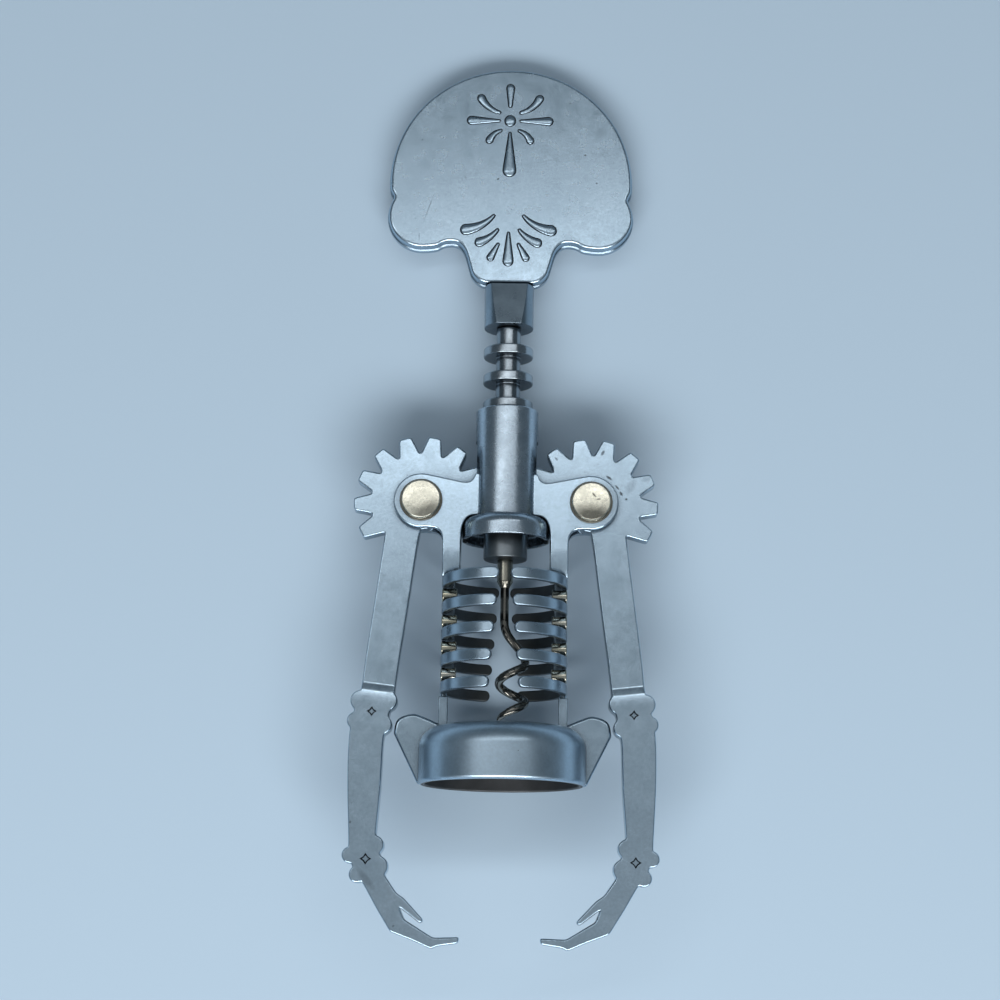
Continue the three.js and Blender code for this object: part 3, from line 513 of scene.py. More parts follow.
# %% Posts
POST_EDGE = 0.2
NECK_RADIUS = 0.75
NECK_HEIGHT = 0.5
SINK = 0.6
for side, _ in SIDES:
    low, high = span(f"{side}_cage_post")
    shoulder = high.y - NECK_HEIGHT
    post = block((low.x, low.y - SINK * 2, low.z), (high.x, shoulder, high.z), POST_EDGE)
    foot, top = shoulder - SINK, high.y + SINK * 2
    neck = turned([(0, foot), (NECK_RADIUS, foot), (NECK_RADIUS, top), (0, top)], 24)
    bmesh.ops.translate(neck, verts=neck.verts, vec=((low.x + high.x) / 2, 0, 0))
    finish_piece(f"{side}_post", together(post, neck), f"{side}_cage_post", [zinc])

# %% [markdown]
# ## The rib cage
# Each rib is a flat band with half-round ends, rounded at every rim. It is easiest to make it flat, cut it
# across into short lengths, and then wrap it round the cage. Polished knuckles fill the spaces between
# the ribs at each side, over a pillar that joins them.

# %% Ribs
CAGE_WALL = 1.7
RIB_COUNT = 5
RIB_HEIGHT = 2.75
RIB_PITCH = 6.58
RIB_RIM = 0.38
RIB_END_STEPS = 12
RIB_CUTS = 34
TOP_RIB_HALF_OPENING = 1.5
OPENING_GROWTH = 0.55
cage_low, cage_top = span("right_rib_cage")
cage_radius = cage_top.x


def wrapped_rib(sign, index):
    """One band, made flat along X and wrapped round the screw from front to back."""
    middle = cage_top.y - RIB_HEIGHT / 2 - index * RIB_PITCH
    start = asin((TOP_RIB_HALF_OPENING + index * OPENING_GROWTH) / cage_radius)
    length = cage_radius * (pi - 2 * start)
    half = RIB_HEIGHT / 2
    flat = arc(half, 0, half, 270, 90, RIB_END_STEPS)
    flat += arc(length - half, 0, half, 90, -90, RIB_END_STEPS)
    bm = plate(flat, 0, CAGE_WALL, rim(RIB_RIM), rim(RIB_RIM))
    bm.normal_update()
    # Inner faces take the third material: painted shade inside the cage, with grime
    for face in bm.faces:
        face.material_index = 2 if face.normal.z < -0.5 else 0
    for cut in range(1, RIB_CUTS):
        sliced(bm, (length * cut / RIB_CUTS, 0, 0), (1, 0, 0))
    for vertex in bm.verts:
        angle = start + vertex.co.x / cage_radius
        radius = cage_radius - CAGE_WALL + vertex.co.z
        vertex.co = (sign * radius * sin(angle), middle + vertex.co.y, radius * cos(angle))
    bmesh.ops.recalc_face_normals(bm, faces=bm.faces)
    return bm


# %% Knuckles, pillars and the two halves of the cage
KNUCKLE_RADIUS = 1.8
KNUCKLE_LENGTH = 3.8
KNUCKLE_INSET = 0.1
KNUCKLE_ROUND = 0.35
PILLAR_WIDTH = 2.2
PILLAR_DEPTH = 2
PILLAR_EDGE = 0.3
polished = worn_metal("polished_zinc", (0.66, 0.66, 0.6), (0.5, 0.46, 0.3), 0.16, depth=0.3)
# Inside of the cage: painted shade, with grime in it
inner_shade_and_grime = worn_metal("inner_shade_and_grime_zinc", (0.2, 0.23, 0.25), (0.07, 0.075, 0.07), 0.5, speckle=0.5)


def knuckle(sign, y):
    """A short polished pin that points out of the cage's side."""
    outer = cage_radius - KNUCKLE_INSET
    inner = outer - KNUCKLE_LENGTH
    pin = turned(filleted([
        (0, inner, 0), (KNUCKLE_RADIUS, inner, PILLAR_EDGE),
        (KNUCKLE_RADIUS, outer, KNUCKLE_ROUND), (0, outer, 0),
    ]), 32)
    turn = Matrix.Translation((0, y, 0)) @ Matrix.Rotation(-sign * pi / 2, 4, "Z")
    bmesh.ops.transform(pin, verts=pin.verts, matrix=turn)
    for face in pin.faces:
        face.material_index = 1
    return pin


def cage_half(sign):
    """One side of the cage: five ribs, the pillar behind them and a knuckle in each space."""
    ribs = [wrapped_rib(sign, index) for index in range(RIB_COUNT)]
    outer = cage_radius - KNUCKLE_INSET - KNUCKLE_LENGTH / 4
    inner, outer = sorted((sign * (outer - PILLAR_WIDTH), sign * outer))
    low, high = cage_low.y + RIB_HEIGHT / 2, cage_top.y - RIB_HEIGHT / 2
    pillar = block((inner, low, -PILLAR_DEPTH / 2), (outer, high, PILLAR_DEPTH / 2), PILLAR_EDGE)
    places = [cage_top.y - RIB_HEIGHT / 2 - (index + 0.5) * RIB_PITCH for index in range(RIB_COUNT - 1)]
    return together(pillar, *ribs, *[knuckle(sign, y) for y in places])


for side, sign in SIDES:
    finish_piece(f"{side}_ribs", cage_half(sign), f"{side}_rib_cage", [cast_zinc, polished, inner_shade_and_grime])

# %% [markdown]
# ## The guide tube
# The tube and its collar are one turning. The collar is domed above and cupped below, and slots let the gear
# teeth reach the rack inside.

# %% Turn the tube and cut its slots
TUBE_WALL = 1.2
COLLAR_HEIGHT = 5.5
COLLAR_SHOULDER = 2.5
CUP_RADIUS = 9.8
CUP_DEPTH = 3
LEVER_THICKNESS = 4
RUNNING_GAP = 0.3
SLOT_TOP = 85.5
SLOT_REACH = (3, 14)
SLOT_OVERRUN = 2
ring_radius = span("rack_sleeve")[1].x
guide_low, guide_high = span("guide_tube")
collar_radius = guide_high.x
tube_bore = ring_radius + RUNNING_GAP
tube_radius = tube_bore + TUBE_WALL
collar_top = guide_low.y + COLLAR_HEIGHT
cup = guide_low.y + CUP_DEPTH
# The tube takes weak painted shade at its corners and strong painted shade over its sides
tube_zinc = worn_metal("tube_zinc", (0.5, 0.6, 0.69), (0.46, 0.56, 0.65), 0.26, 0.25, 0.85)
tube = turned(filleted([
    (tube_bore, cup, 0.2), (CUP_RADIUS, cup, 0.8),
    (CUP_RADIUS, guide_low.y, 0.3), (collar_radius, guide_low.y, 0.3),
    (collar_radius, collar_top, COLLAR_SHOULDER), (tube_radius, collar_top, 0.5),
    (tube_radius, guide_high.y, 0.35), (tube_bore, guide_high.y, 0.25),
], 6))
slot_half = LEVER_THICKNESS / 2 + RUNNING_GAP
slots = []
for _, sign in SIDES:
    near, far = sorted(sign * reach for reach in SLOT_REACH)
    slots.append(block((near, guide_low.y - SLOT_OVERRUN, -slot_half), (far, SLOT_TOP, slot_half)))
finish_piece("guide", carved(tube, *slots), "guide_tube", [tube_zinc])

# %% [markdown]
# ## The yoke
# Two cheeks a side hold each lever on its rivet. A cheek has a round ear, a saddle that runs to the tube and
# a leg that stands on the top rib. The foot of the leg is cut across many times and moved inwards by the
# cube of its depth, since a plain bend would leave a crease.

# %% Cheeks
LEG_WIDTH = 4.5
EAR_RADIUS = 6.8
EAR_START = -80
SADDLE_FALL = 11.5
SADDLE_LENGTH = 9.2
ARMPIT_SHARES = (2, 1.5)
CHEEK_RIM = 0.35
HIDDEN_RIM = 0.12
WEB_RISE = 0.3
WEB_EASE = (0.4, 0.5)
CHEEK_SPACING = 0.4
LEG_BEND_TOP = 58.4
LEG_BEND_STEP = 0.5
LEG_BEND = 0.0033
# A patch of painted shade on each ear: its place from the pivot, its width and its strength
EAR_SHADE_PLACE = (3.4, 0.4)
EAR_SHADE_WIDTH = 15
EAR_SHADE_STRENGTH = 0.45


def cheek_outline(thickness):
    """The left cheek, from the foot of its leg round the ear to the tube."""
    foot = span("left_back_cheek")[0].y - SINK * 2
    leg_outer = -cage_radius
    leg_inner = leg_outer + LEG_WIDTH
    armpit = PIVOT_Y - EAR_RADIUS
    crotch = collar_top + RUNNING_GAP
    drop, reach = ARMPIT_SHARES
    ear = arc(-PIVOT_X, PIVOT_Y, EAR_RADIUS, EAR_START, -270 - SADDLE_FALL, 30)
    fall = radians(SADDLE_FALL)
    saddle = ear[-1] + Vector((cos(fall), -sin(fall))) * SADDLE_LENGTH
    web = (-tube_radius, PIVOT_Y + EAR_RADIUS + WEB_RISE)
    under = bend(
        (leg_outer, armpit - drop * thickness), (leg_outer, armpit), (leg_outer - reach * thickness, armpit),
    )
    over = bend(saddle, (-tube_radius - WEB_EASE[0], saddle.y - WEB_EASE[1]), web)
    inside = bend((-tube_radius, crotch), (leg_inner, crotch), (leg_inner, guide_low.y))
    line = [Vector((leg_inner, foot)), Vector((leg_outer, foot)), *under, *ear, *over]
    line += [Vector((-tube_bore, web[1])), Vector((-tube_bore, crotch)), *inside]
    return softened(line, CHEEK_SPACING, 2)


def leg_bent(bm):
    """Curves the foot of the leg inwards, to the band of the top rib."""
    foot = min(vertex.co.y for vertex in bm.verts)
    count = round((LEG_BEND_TOP - foot) / LEG_BEND_STEP)
    for cut in range(1, count + 1):
        sliced(bm, (0, foot + (LEG_BEND_TOP - foot) * cut / count, 0), (0, 1, 0))
    for vertex in bm.verts:
        under = max(0, LEG_BEND_TOP - vertex.co.y)
        vertex.co.z -= copysign(LEG_BEND * under ** 3, vertex.co.z)
    return bm


for side, sign in SIDES:
    high = span(f"{side}_back_cheek")[1]
    ear = (sign * (PIVOT_X + EAR_SHADE_PLACE[0]), PIVOT_Y + EAR_SHADE_PLACE[1], high.z)
    # Painted shade on the ear, laid on as a mark
    ear_shade = [(*ear, EAR_SHADE_WIDTH, EAR_SHADE_WIDTH, 0, EAR_SHADE_STRENGTH)]
    # A brighter copy of the zinc: painted highlight on the flat cheeks
    cheek_brightened_zinc = worn_metal(f"{side}_cheek_brightened_zinc", dimmed(ZINC, 1.28), dimmed(ZINC, 1.16), 0.22, marks=ear_shade)
    for face in ("back", "front"):
        node = f"{side}_{face}_cheek"
        low, high = span(node)
        outline = cheek_outline(high.z - low.z)
        soft, crisp = rim(CHEEK_RIM), rim(HIDDEN_RIM, 2)
        top, bottom = (soft, crisp) if face == "back" else (crisp, soft)
        cheek = plate(outline if sign < 0 else mirrored(outline), low.z, high.z, top, bottom)
        finish_piece(f"{node}_plate", leg_bent(cheek), node, [cheek_brightened_zinc])

# %% [markdown]
# ## Rivets
# The rivets are brass with a worn nickel flash, so their heads are a pale straw colour. A head is turned,
# with a barely domed crown and a low flange at its foot; the side of the head and the flange are dark.

# %% Rivets
RIVET_RADIUS = 2.7
CROWN_SHARE = 0.55
CROWN_ROUND = 8
FLANGE = 0.45
FLANGE_RISE = 0.35
FLANGE_REACH = 0.03
RIVET_TOP = span("left_rivet")[1].z
# Patches on the lower part of each head, partly wear and partly painted shade, then nicks: each a row as
# link_mark takes it
BRASS_WEAR_SHADE_AND_NICKS = [
    (-19.4, 66.2, RIVET_TOP, 10, 6.5, 28, 0.6), (21.4, 65.8, RIVET_TOP, 13, 7.5, -6, 0.8),
    (21.7, 71.3, RIVET_TOP, 1.8, 0.6, -50, 0.95), (22.8, 70.2, RIVET_TOP, 1.2, 0.5, 10, 0.8),
]
brass = worn_metal("pale_brass", (0.98, 0.95, 0.8), (0.82, 0.8, 0.68), 0.26, speckle=0.45, marks=BRASS_WEAR_SHADE_AND_NICKS)
dark_foot = worn_metal("dark_foot_brass", (0.22, 0.22, 0.19), (0.14, 0.14, 0.12), 0.35)
cheek_face = span("left_back_cheek")[1].z
for side, _ in SIDES:
    low, high = span(f"{side}_rivet")
    head = (high.x - low.x) / 2
    flange_top = cheek_face + FLANGE_RISE
    # Half of the profile: the radius, height and fillet of each corner
    half = [
        (0, high.z, 0), (head * CROWN_SHARE, high.z - 0.05, CROWN_ROUND), (head - 0.12, high.z - 0.2, 0.3),
        (head - 0.05, flange_top, 0.05), (head + FLANGE, flange_top, 0.15), (head + FLANGE, cheek_face, 0),
        (RIVET_RADIUS, cheek_face, 0),
    ]
    rivet = turned(filleted([*half, *[(x, -z, radius) for x, z, radius in reversed(half)]], 4), 64)
    place = Matrix.Translation(((low.x + high.x) / 2, PIVOT_Y, 0)) @ Matrix.Rotation(pi / 2, 4, "X")
    # The side of the head and its flange take the dark second material
    for face in rivet.faces:
        spot = face.calc_center_median()
        if hypot(spot.x, spot.z) > head - FLANGE_REACH and abs(spot.y) > cheek_face:
            face.material_index = 1
    bmesh.ops.transform(rivet, verts=rivet.verts, matrix=place)
    finish_piece(f"{side}_rivet_pin", rivet, f"{side}_rivet", [brass, dark_foot])

# %% [markdown]
# ## The levers
# A lever is one casting: a gear at the shoulder, a flat upper arm, a short ramp up to a thicker forearm, and
# a pointing hand. Round lobes at the elbow and the wrist look like the ends of bones. The outline is drawn
# once and made a plate. Cuts across the ramp let its points move apart step by step up to the forearm, and
# small pinched stars are carved into both faces, their walls painted dark as painted shade.

# %% Outline of the left lever
LEVER_LENGTH = 108.6
GEAR_TEETH = 14
GEAR_TEETH_CUT = 9
GEAR_PITCH_RADIUS = 15.597
TIP_RADIUS = GEAR_PITCH_RADIUS + 1.3
ROOT_RADIUS = GEAR_PITCH_RADIUS - 3.1
TOOTH_TIP_WIDTH = 3.1
TOOTH_FOOT_GAP = 0.45
TOOTH_PHASE = 0.7
OUTER_SHARES = [
    (-0.081, -0.072), (-0.106, -0.273), (-0.118, -0.365), (-0.125, -0.445), (-0.141, -0.484),
    (-0.148, -0.526), (-0.15, -0.589), (-0.148, -0.666), (-0.144, -0.733), (-0.142, -0.775), (-0.142, -0.8),
]
HAND_SHARES = [
    (-0.126, -0.84), (-0.107, -0.862), (-0.078, -0.912), (-0.045, -0.964), (0.004, -0.982),
    (0.046, -1), (0.056, -0.994), (0.104, -0.987), (0.107, -0.973), (0.049, -0.975), (-0.015, -0.937),
    (-0.026, -0.911), (0.021, -0.946), (0.028, -0.938), (-0.018, -0.89), (-0.033, -0.881), (-0.059, -0.844),
]
INNER_SHARES = [
    (-0.07, -0.8), (-0.082, -0.76), (-0.08, -0.728), (-0.075, -0.665), (-0.073, -0.601),
    (-0.0715, -0.537), (-0.064, -0.52), (-0.06, -0.485), (-0.051, -0.465), (-0.05, -0.445),
    (-0.041, -0.364), (-0.028, -0.273), (-0.007, -0.105),
]
LOBE_SHARES = [
    (-0.124, -0.459, 0.024), (-0.066, -0.458, 0.0235), (-0.135, -0.504, 0.0195), (-0.0745, -0.512, 0.0215),
    (-0.138, -0.8, 0.0185), (-0.121, -0.842, 0.0185), (-0.085, -0.778, 0.0215), (-0.0765, -0.824, 0.0235),
]
LOBE_STEPS = 14
HUB_RADIUS = 7
HUB_SWEEP = (-90, -45)
OUTLINE_SPACING = 0.35


def corner_cut(points, rounds):
    """An open line with its corners cut off again and again, which leaves a smooth one."""
    for _ in range(rounds):
        cut = [points[0]]
        for start, end in zip(points, points[1:]):
            cut += [start.lerp(end, 0.25), start.lerp(end, 0.75)]
        points = [*cut, points[-1]]
    return points


def gear_line():
    """The teeth from the one that faces the rack round to the outer side."""
    step = 360 / GEAR_TEETH
    phase = degrees(TOOTH_PHASE / GEAR_PITCH_RADIUS)
    foot = step / 2 - degrees(TOOTH_FOOT_GAP / ROOT_RADIUS / 2)
    tip = degrees(TOOTH_TIP_WIDTH / TIP_RADIUS / 2)
    line = []
    for tooth in range(GEAR_TEETH_CUT):
        middle = phase + tooth * step
        corners = [(ROOT_RADIUS, -foot), (TIP_RADIUS, -tip), (TIP_RADIUS, tip), (ROOT_RADIUS, foot)]
        line += [polar(-PIVOT_X, PIVOT_Y, radius, middle + angle) for radius, angle in corners]
    return line


def with_lobe(outline, x, y, radius):
    """The outline with a round lobe added where it passes through the lobe's circle."""
    centre = Vector((x, y))
    inside = [(point - centre).length < radius for point in outline]
    enter = next(i for i in range(len(outline)) if inside[i] and not inside[i - 1])
    run = next(i for i in range(len(outline)) if not inside[(enter + i) % len(outline)])
    outline = outline[enter:] + outline[:enter]
    first, last = outline[0] - centre, outline[run - 1] - centre
    start, end = (degrees(atan2(spoke.y, spoke.x)) for spoke in (first, last))
    if end < start:
        end += 360
    return arc(x, y, radius, start, end, LOBE_STEPS) + outline[run:]


def lever_outline():
    """The left lever, anticlockwise."""
    place = Vector((-PIVOT_X, PIVOT_Y))
    outer, hand, inner = (
        [place + Vector(share) * LEVER_LENGTH for share in shares]
        for shares in (OUTER_SHARES, HAND_SHARES, INNER_SHARES)
    )
    hub = arc(*place, HUB_RADIUS, *HUB_SWEEP, 6)
    line = [*gear_line(), *corner_cut(outer, 2), *hand, *corner_cut(inner, 2), *hub]
    outline = softened(line, OUTLINE_SPACING, 2)
    for *lobe, radius in LOBE_SHARES:
        outline = with_lobe(outline, *place + Vector(lobe) * LEVER_LENGTH, radius * LEVER_LENGTH)
    return softened(outline, OUTLINE_SPACING, 1)


print(f"lever outline of {len(lever_outline())} points")

# %% Plate, ramp and marks of a lever
FOREARM_THICKNESS = 5.2
LEVER_RIM = 0.4
RAMP_LEAN = radians(6.5)
RAMP_START = 46.1
# Each row: distance along the ramp and its slope there in degrees
RAMP_SLOPES = [(0, 0), (0.5, 16), (1.8, 14), (2.3, 5), (5, 0)]
RAMP_STEP = 0.2
MARK_SHARES = [(-0.099, -0.483, 0.0115), (-0.103, -0.808, 0.013)]
MARK_DEPTH = 0.45
MARK_WALL = 0.3
MARK_PINCH = 0.56
MARK_OVERRUN = 1
STAR_POINTS = 8


def ramp_heights():
    """Distances along the ramp with the share of the whole rise that each has reached."""
    length = RAMP_SLOPES[-1][0]
    heights = [(0, 0)]
    while heights[-1][0] < length:
        reach = heights[-1][0]
        low, high = next(pair for pair in zip(RAMP_SLOPES, RAMP_SLOPES[1:]) if pair[1][0] > reach)
        slope = low[1] + (high[1] - low[1]) * (reach - low[0]) / (high[0] - low[0])
        heights.append((reach + RAMP_STEP, heights[-1][1] + RAMP_STEP * tan(radians(slope))))
    return [(reach, height / heights[-1][1]) for reach, height in heights]


def ramp_up(bm, sign):
    """Cuts the plate across in many places along the ramp and thickens it there by the ramp's heights."""
    along = Vector((sign * sin(RAMP_LEAN), -cos(RAMP_LEAN), 0))
    pivot = Vector((sign * PIVOT_X, PIVOT_Y, 0))
    heights = ramp_heights()
    for reach, _ in heights:
        sliced(bm, pivot + along * (RAMP_START + reach), along)
    for vertex in bm.verts:
        reach = (vertex.co - pivot).dot(along) - RAMP_START
        step = min(len(heights) - 1, max(0, round(reach / RAMP_STEP)))
        vertex.co.z *= 1 + heights[step][1] * (FOREARM_THICKNESS / LEVER_THICKNESS - 1)


def lever(sign):
    """A whole lever for one side."""
    outline = lever_outline() if sign < 0 else mirrored(lever_outline())
    half = LEVER_THICKNESS / 2
    bm = plate(outline, -half, half, rim(LEVER_RIM), rim(LEVER_RIM))
    ramp_up(bm, sign)
    marks = []
    high = FOREARM_THICKNESS / 2
    taper = [(MARK_WALL, MARK_DEPTH)]
    for x, y, reach in MARK_SHARES:
        centre = (sign * (PIVOT_X - x * LEVER_LENGTH), PIVOT_Y + y * LEVER_LENGTH)
        spokes = (reach * LEVER_LENGTH, reach * LEVER_LENGTH * MARK_PINCH)
        star = [polar(*centre, spokes[i % 2], i * 360 / STAR_POINTS) for i in range(STAR_POINTS)]
        marks.append(plate(star, high - MARK_DEPTH, high + MARK_OVERRUN, [], taper))
        marks.append(plate(star, -high - MARK_OVERRUN, MARK_DEPTH - high, taper, []))
    # The walls of the stars take the second material: painted shade in the cuts
    for solid in marks:
        solid.normal_update()
        for face in solid.faces:
            face.material_index = 0 if abs(face.normal.z) > FLAT else 1
    return carved(bm, *marks)


# Near-black painted shade for the walls of the carved stars and the grooves round the teardrops
painted_recess_shade = worn_metal("recess_painted_shade", dimmed(ZINC, 0.14), dimmed(ZINC_SHADE, 0.08), 0.4)
# Stains and nicks
LEVER_MARKS = {
    "left": [
        (-32, -22.8, 2.6, 7.5, 2.2, -50, 0.32), (-36.2, -9.4, 2.6, 0.9, 0.5, 80, 0.6),
        (-25.2, -33.6, 2.6, 0.8, 0.5, 20, 0.5),
    ],
    "right": [
        (24, 83, 2, 1.9, 1, 60, 0.75), (25.6, 76.6, 2, 2.2, 0.8, -35, 0.95),
        (27.6, 74.2, 2, 1.8, 0.6, -50, 0.9), (28.6, 72.6, 2, 1.5, 0.8, -60, 0.95),
        (29.9, 71.2, 2, 0.8, 0.7, 0, 0.9), (31, 74.4, 2, 5, 2.6, 60, 0.2),
        (35, 76.5, 2, 3, 2, 20, 0.22), (12.4, 81.3, 2, 1.4, 0.7, -50, 0.6),
    ],
}
for side, sign in SIDES:
    arm_zinc = worn_metal(f"{side}_arm_zinc", ZINC, ZINC_SHADE, 0.22, marks=LEVER_MARKS[side])
    materials = [arm_zinc, painted_recess_shade]
    finish_piece(f"{side}_arm_casting", lever(sign), f"{side}_lever", materials, f"{side}_arm")

# %% [markdown]
# ## The rack
# Seven rings on a sleeve make the spine, and the gears of the levers climb them whichever way the screw
# turns. It is polished smoother than the flat castings.

# %% Rings on a sleeve
RING_COUNT = 7
RING_PITCH = 7
RING_THICKNESS = 2.4
CORE_RADIUS = 3.1
SLEEVE_TAIL = 4.7
RACK_BORE = 2.1
rack_low, rack_high = span("rack_sleeve")
corners = [(RACK_BORE, rack_low.y, 0), (CORE_RADIUS, rack_low.y, 0.2)]
for ring in range(RING_COUNT):
    low = rack_low.y + SLEEVE_TAIL + ring * RING_PITCH - RING_THICKNESS / 2
    high = low + RING_THICKNESS
    corners += [(CORE_RADIUS, low, 0.25), (ring_radius, low, 0.4)]
    corners += [(ring_radius, high, 0.4), (CORE_RADIUS, high, 0.25)]
corners += [(CORE_RADIUS, rack_high.y, 0.1), (RACK_BORE, rack_high.y, 0)]
# The rack takes fairly strong painted shade over its hollows and sides
rack_zinc = worn_metal("rack_zinc", (0.4, 0.46, 0.51), (0.35, 0.41, 0.46), 0.22, depth=0.7)
rack = turned(filleted(corners, 4), 72)
finish_piece("ringed_rack", rack, "rack_sleeve", [rack_zinc], "rack")

# %% [markdown]
# ## Socket, ferrule and worm
# A socket on the end of the spindle holds the worm, and a slim ferrule with a pointed foot hides the joint.
# The worm is a polished steel wire, swept along a path that leans out of a straight stem into a helix and
# thins to a point.

# %% Socket and ferrule
FERRULE_FOOT_RADIUS = 1.15
FERRULE_POINT = 1.6
FERRULE_SINK = 0.2
SOCKET_SINK = 0.25
# The worm's steel takes strong painted shade over its hollows and sides
steel = worn_metal("dark_steel", (0.4, 0.39, 0.35), (0.24, 0.23, 0.21), 0.13, depth=0.85)
ferrule_steel = worn_metal("ferrule_steel", (0.48, 0.47, 0.4), (0.34, 0.33, 0.28), 0.2)
socket_zinc = worn_metal("socket_zinc", (0.34, 0.38, 0.41), (0.26, 0.3, 0.33), 0.36)
low, high = span("worm_socket")
socket_foot = low.y
socket = turned(filleted([
    (0, low.y, 0), (high.x, low.y, 0.5), (high.x, high.y + SOCKET_SINK, 0.3), (0, high.y + SOCKET_SINK, 0),
]))
finish_piece("socket", socket, "worm_socket", [socket_zinc], "screw")
low, high = span("worm_ferrule")
ferrule = turned(filleted([
    (0, low.y, 0), (FERRULE_FOOT_RADIUS, low.y, 0.1), (high.x, low.y + FERRULE_POINT, 0.6),
    (high.x, socket_foot + FERRULE_SINK, 0), (0, socket_foot + FERRULE_SINK, 0),
]), 48)
finish_piece("ferrule", ferrule, "worm_ferrule", [ferrule_steel], "screw")

# %% Worm
WIRE_RADIUS = 1.05
WORM_STEM = 14.6
WORM_LEAD_IN = 11.4
WORM_LENGTH = 14.2
WORM_OFFSET = 2.1
WORM_PITCH = 9.3
HELIX_RADIUS = 3.2
TIP_LENGTH = 3
POINT_RADIUS = 0.12
WIRE_SINK = 1
LEAD_IN_TURNS = (0.5, 0.25)
PATH_STEP = 0.25


def worm_point(y):
    """The wire's centre at a height: straight in the stem, then a widening and a steady helix."""
    depth = socket_foot - WORM_STEM - y
    if depth <= 0:
        return Vector((0, y, 0))
    share = min(1, depth / WORM_LEAD_IN)
    spread = share ** 3 * (share * (share * 6 - 15) + 10)
    turn = LEAD_IN_TURNS[0] + (LEAD_IN_TURNS[1] - LEAD_IN_TURNS[0]) * share
    turn -= max(0, depth - WORM_LEAD_IN) / WORM_PITCH
    angle = 2 * pi * turn
    return Vector((
        spread * (WORM_OFFSET + HELIX_RADIUS * sin(angle)), y, spread * HELIX_RADIUS * cos(angle),
    ))


tip_y = socket_foot - WORM_STEM - WORM_LEAD_IN - WORM_LENGTH
count = round((socket_foot - tip_y) / PATH_STEP)
top = socket_foot + WIRE_SINK
heights = [top + (tip_y - top) * i / count for i in range(count + 1)]
wire = bpy.data.curves.new("worm_path", "CURVE")
wire.dimensions = "3D"
wire.bevel_depth = 1
wire.bevel_resolution = 5
wire.use_fill_caps = True
path = wire.splines.new("POLY")
path.points.add(count)
for point, y in zip(path.points, heights):
    point.co = (*worm_point(y), 1)
    taper = min(1, max(0, (y - tip_y) / TIP_LENGTH))
    point.radius = POINT_RADIUS + (WIRE_RADIUS - POINT_RADIUS) * sqrt(taper)
wire_mesh = bpy.data.meshes.new_from_object(added("worm_path", wire))
worm = bmesh.new()
worm.from_mesh(wire_mesh)
bpy.data.meshes.remove(wire_mesh)
bpy.data.curves.remove(wire)
bmesh.ops.remove_doubles(worm, verts=worm.verts, dist=WELD)
bmesh.ops.recalc_face_normals(worm, faces=worm.faces)
finish_piece("worm_wire", worm, "worm", [steel], "screw")

# %% [markdown]
# ## The shank
# The shank is a round bar pinched between two slanting flats. A cylinder is cut by a slanting plane on each
# side, and the cut edges and both ends are softened.

# %% Shank
SHANK_LOW_FLAT = 5.5
SHANK_HIGH_FLAT = 4.2
SHANK_ROUND = 0.4
shank_low, shank_high = span("handle_shank")
shank_length = shank_high.y - shank_low.y
shank = bmesh.new()
middle = (shank_low + shank_high) / 2
upright = Matrix.Translation((0, middle.y, 0)) @ Matrix.Rotation(-pi / 2, 4, "X")
bmesh.ops.create_cone(
    shank, cap_ends=True, segments=ROUND_STEPS, radius1=shank_high.x, radius2=shank_high.x,
    depth=shank_length, matrix=upright,
)
slant = atan2(SHANK_LOW_FLAT - SHANK_HIGH_FLAT, shank_length)
for sign in (-1, 1):
    normal = (0, sin(slant), sign * cos(slant))
    made = sliced(shank, (0, shank_low.y, sign * SHANK_LOW_FLAT), normal, clear_outer=True)
    rim_edges = [item for item in made["geom_cut"] if isinstance(item, bmesh.types.BMEdge)]
    bmesh.ops.holes_fill(shank, edges=rim_edges, sides=0)
bmesh.ops.recalc_face_normals(shank, faces=shank.faces)
bmesh.ops.dissolve_limit(shank, angle_limit=radians(1), verts=shank.verts, edges=shank.edges)
hard = [edge for edge in shank.edges if edge.calc_face_angle(0) > radians(20)]
bmesh.ops.bevel(
    shank, geom=hard, offset=SHANK_ROUND, segments=4, profile=0.5, affect="EDGES", material=-1,
    clamp_overlap=True,
)
# A darker copy of the zinc: painted shade on the shank, and strong painted shade from the wide occlusion
shank_shaded_zinc = worn_metal("shank_shaded_zinc", dimmed(ZINC, 0.62), dimmed(ZINC_SHADE, 0.5), 0.3, depth=0.7)
finish_piece("shank", shank, "handle_shank", [shank_shaded_zinc], "screw")

# %% [markdown]
# ## The skull
# The handle is a flat skull, seen from behind. Its edge has a narrow ledge below the rounded rim, which
# draws a second bright line under the cheeks. The back carries raised teardrops round a dot and a fan of
# them below, each in a fine groove painted dark as painted shade, and the face is on the hidden side. Each
# of these is a stack of rings bridged to each other, and the flat face round them is filled last, which
# keeps it flat without booleans.

# %% Outline of the skull
SKULL_RADIUS = 31.4
SKULL_RISE = 28.1
CRANIUM_END_SHARES = (0.988, -0.09)
NOTCH_SHARES = (0.965, -0.147)
CHEEKBONE_SHARES = (0.72, -0.303, 0.29)
CHEEKBONE_SWEEP = (31, -98)
CHEEK_UNDER_SHARES = [
    (0.6, -0.579), (0.545, -0.55), (0.484, -0.538), (0.423, -0.552), (0.378, -0.606), (0.354, -0.675),
]
JAW_SHARES = [(0.328, -0.768), (0.306, -0.872)]
JAW_FOOT_SHARE = 0.191
SKULL_SPACING = 0.5
skull_low, skull_high = span("skull_plate")
skull_centre = skull_high.y - SKULL_RADIUS
skull_jaw = skull_centre - SKULL_RISE


def skull_point(share):
    """A point of the skull from its shares of the cranium's radius."""
    return Vector((share[0] * SKULL_RADIUS, skull_centre + share[1] * SKULL_RADIUS))


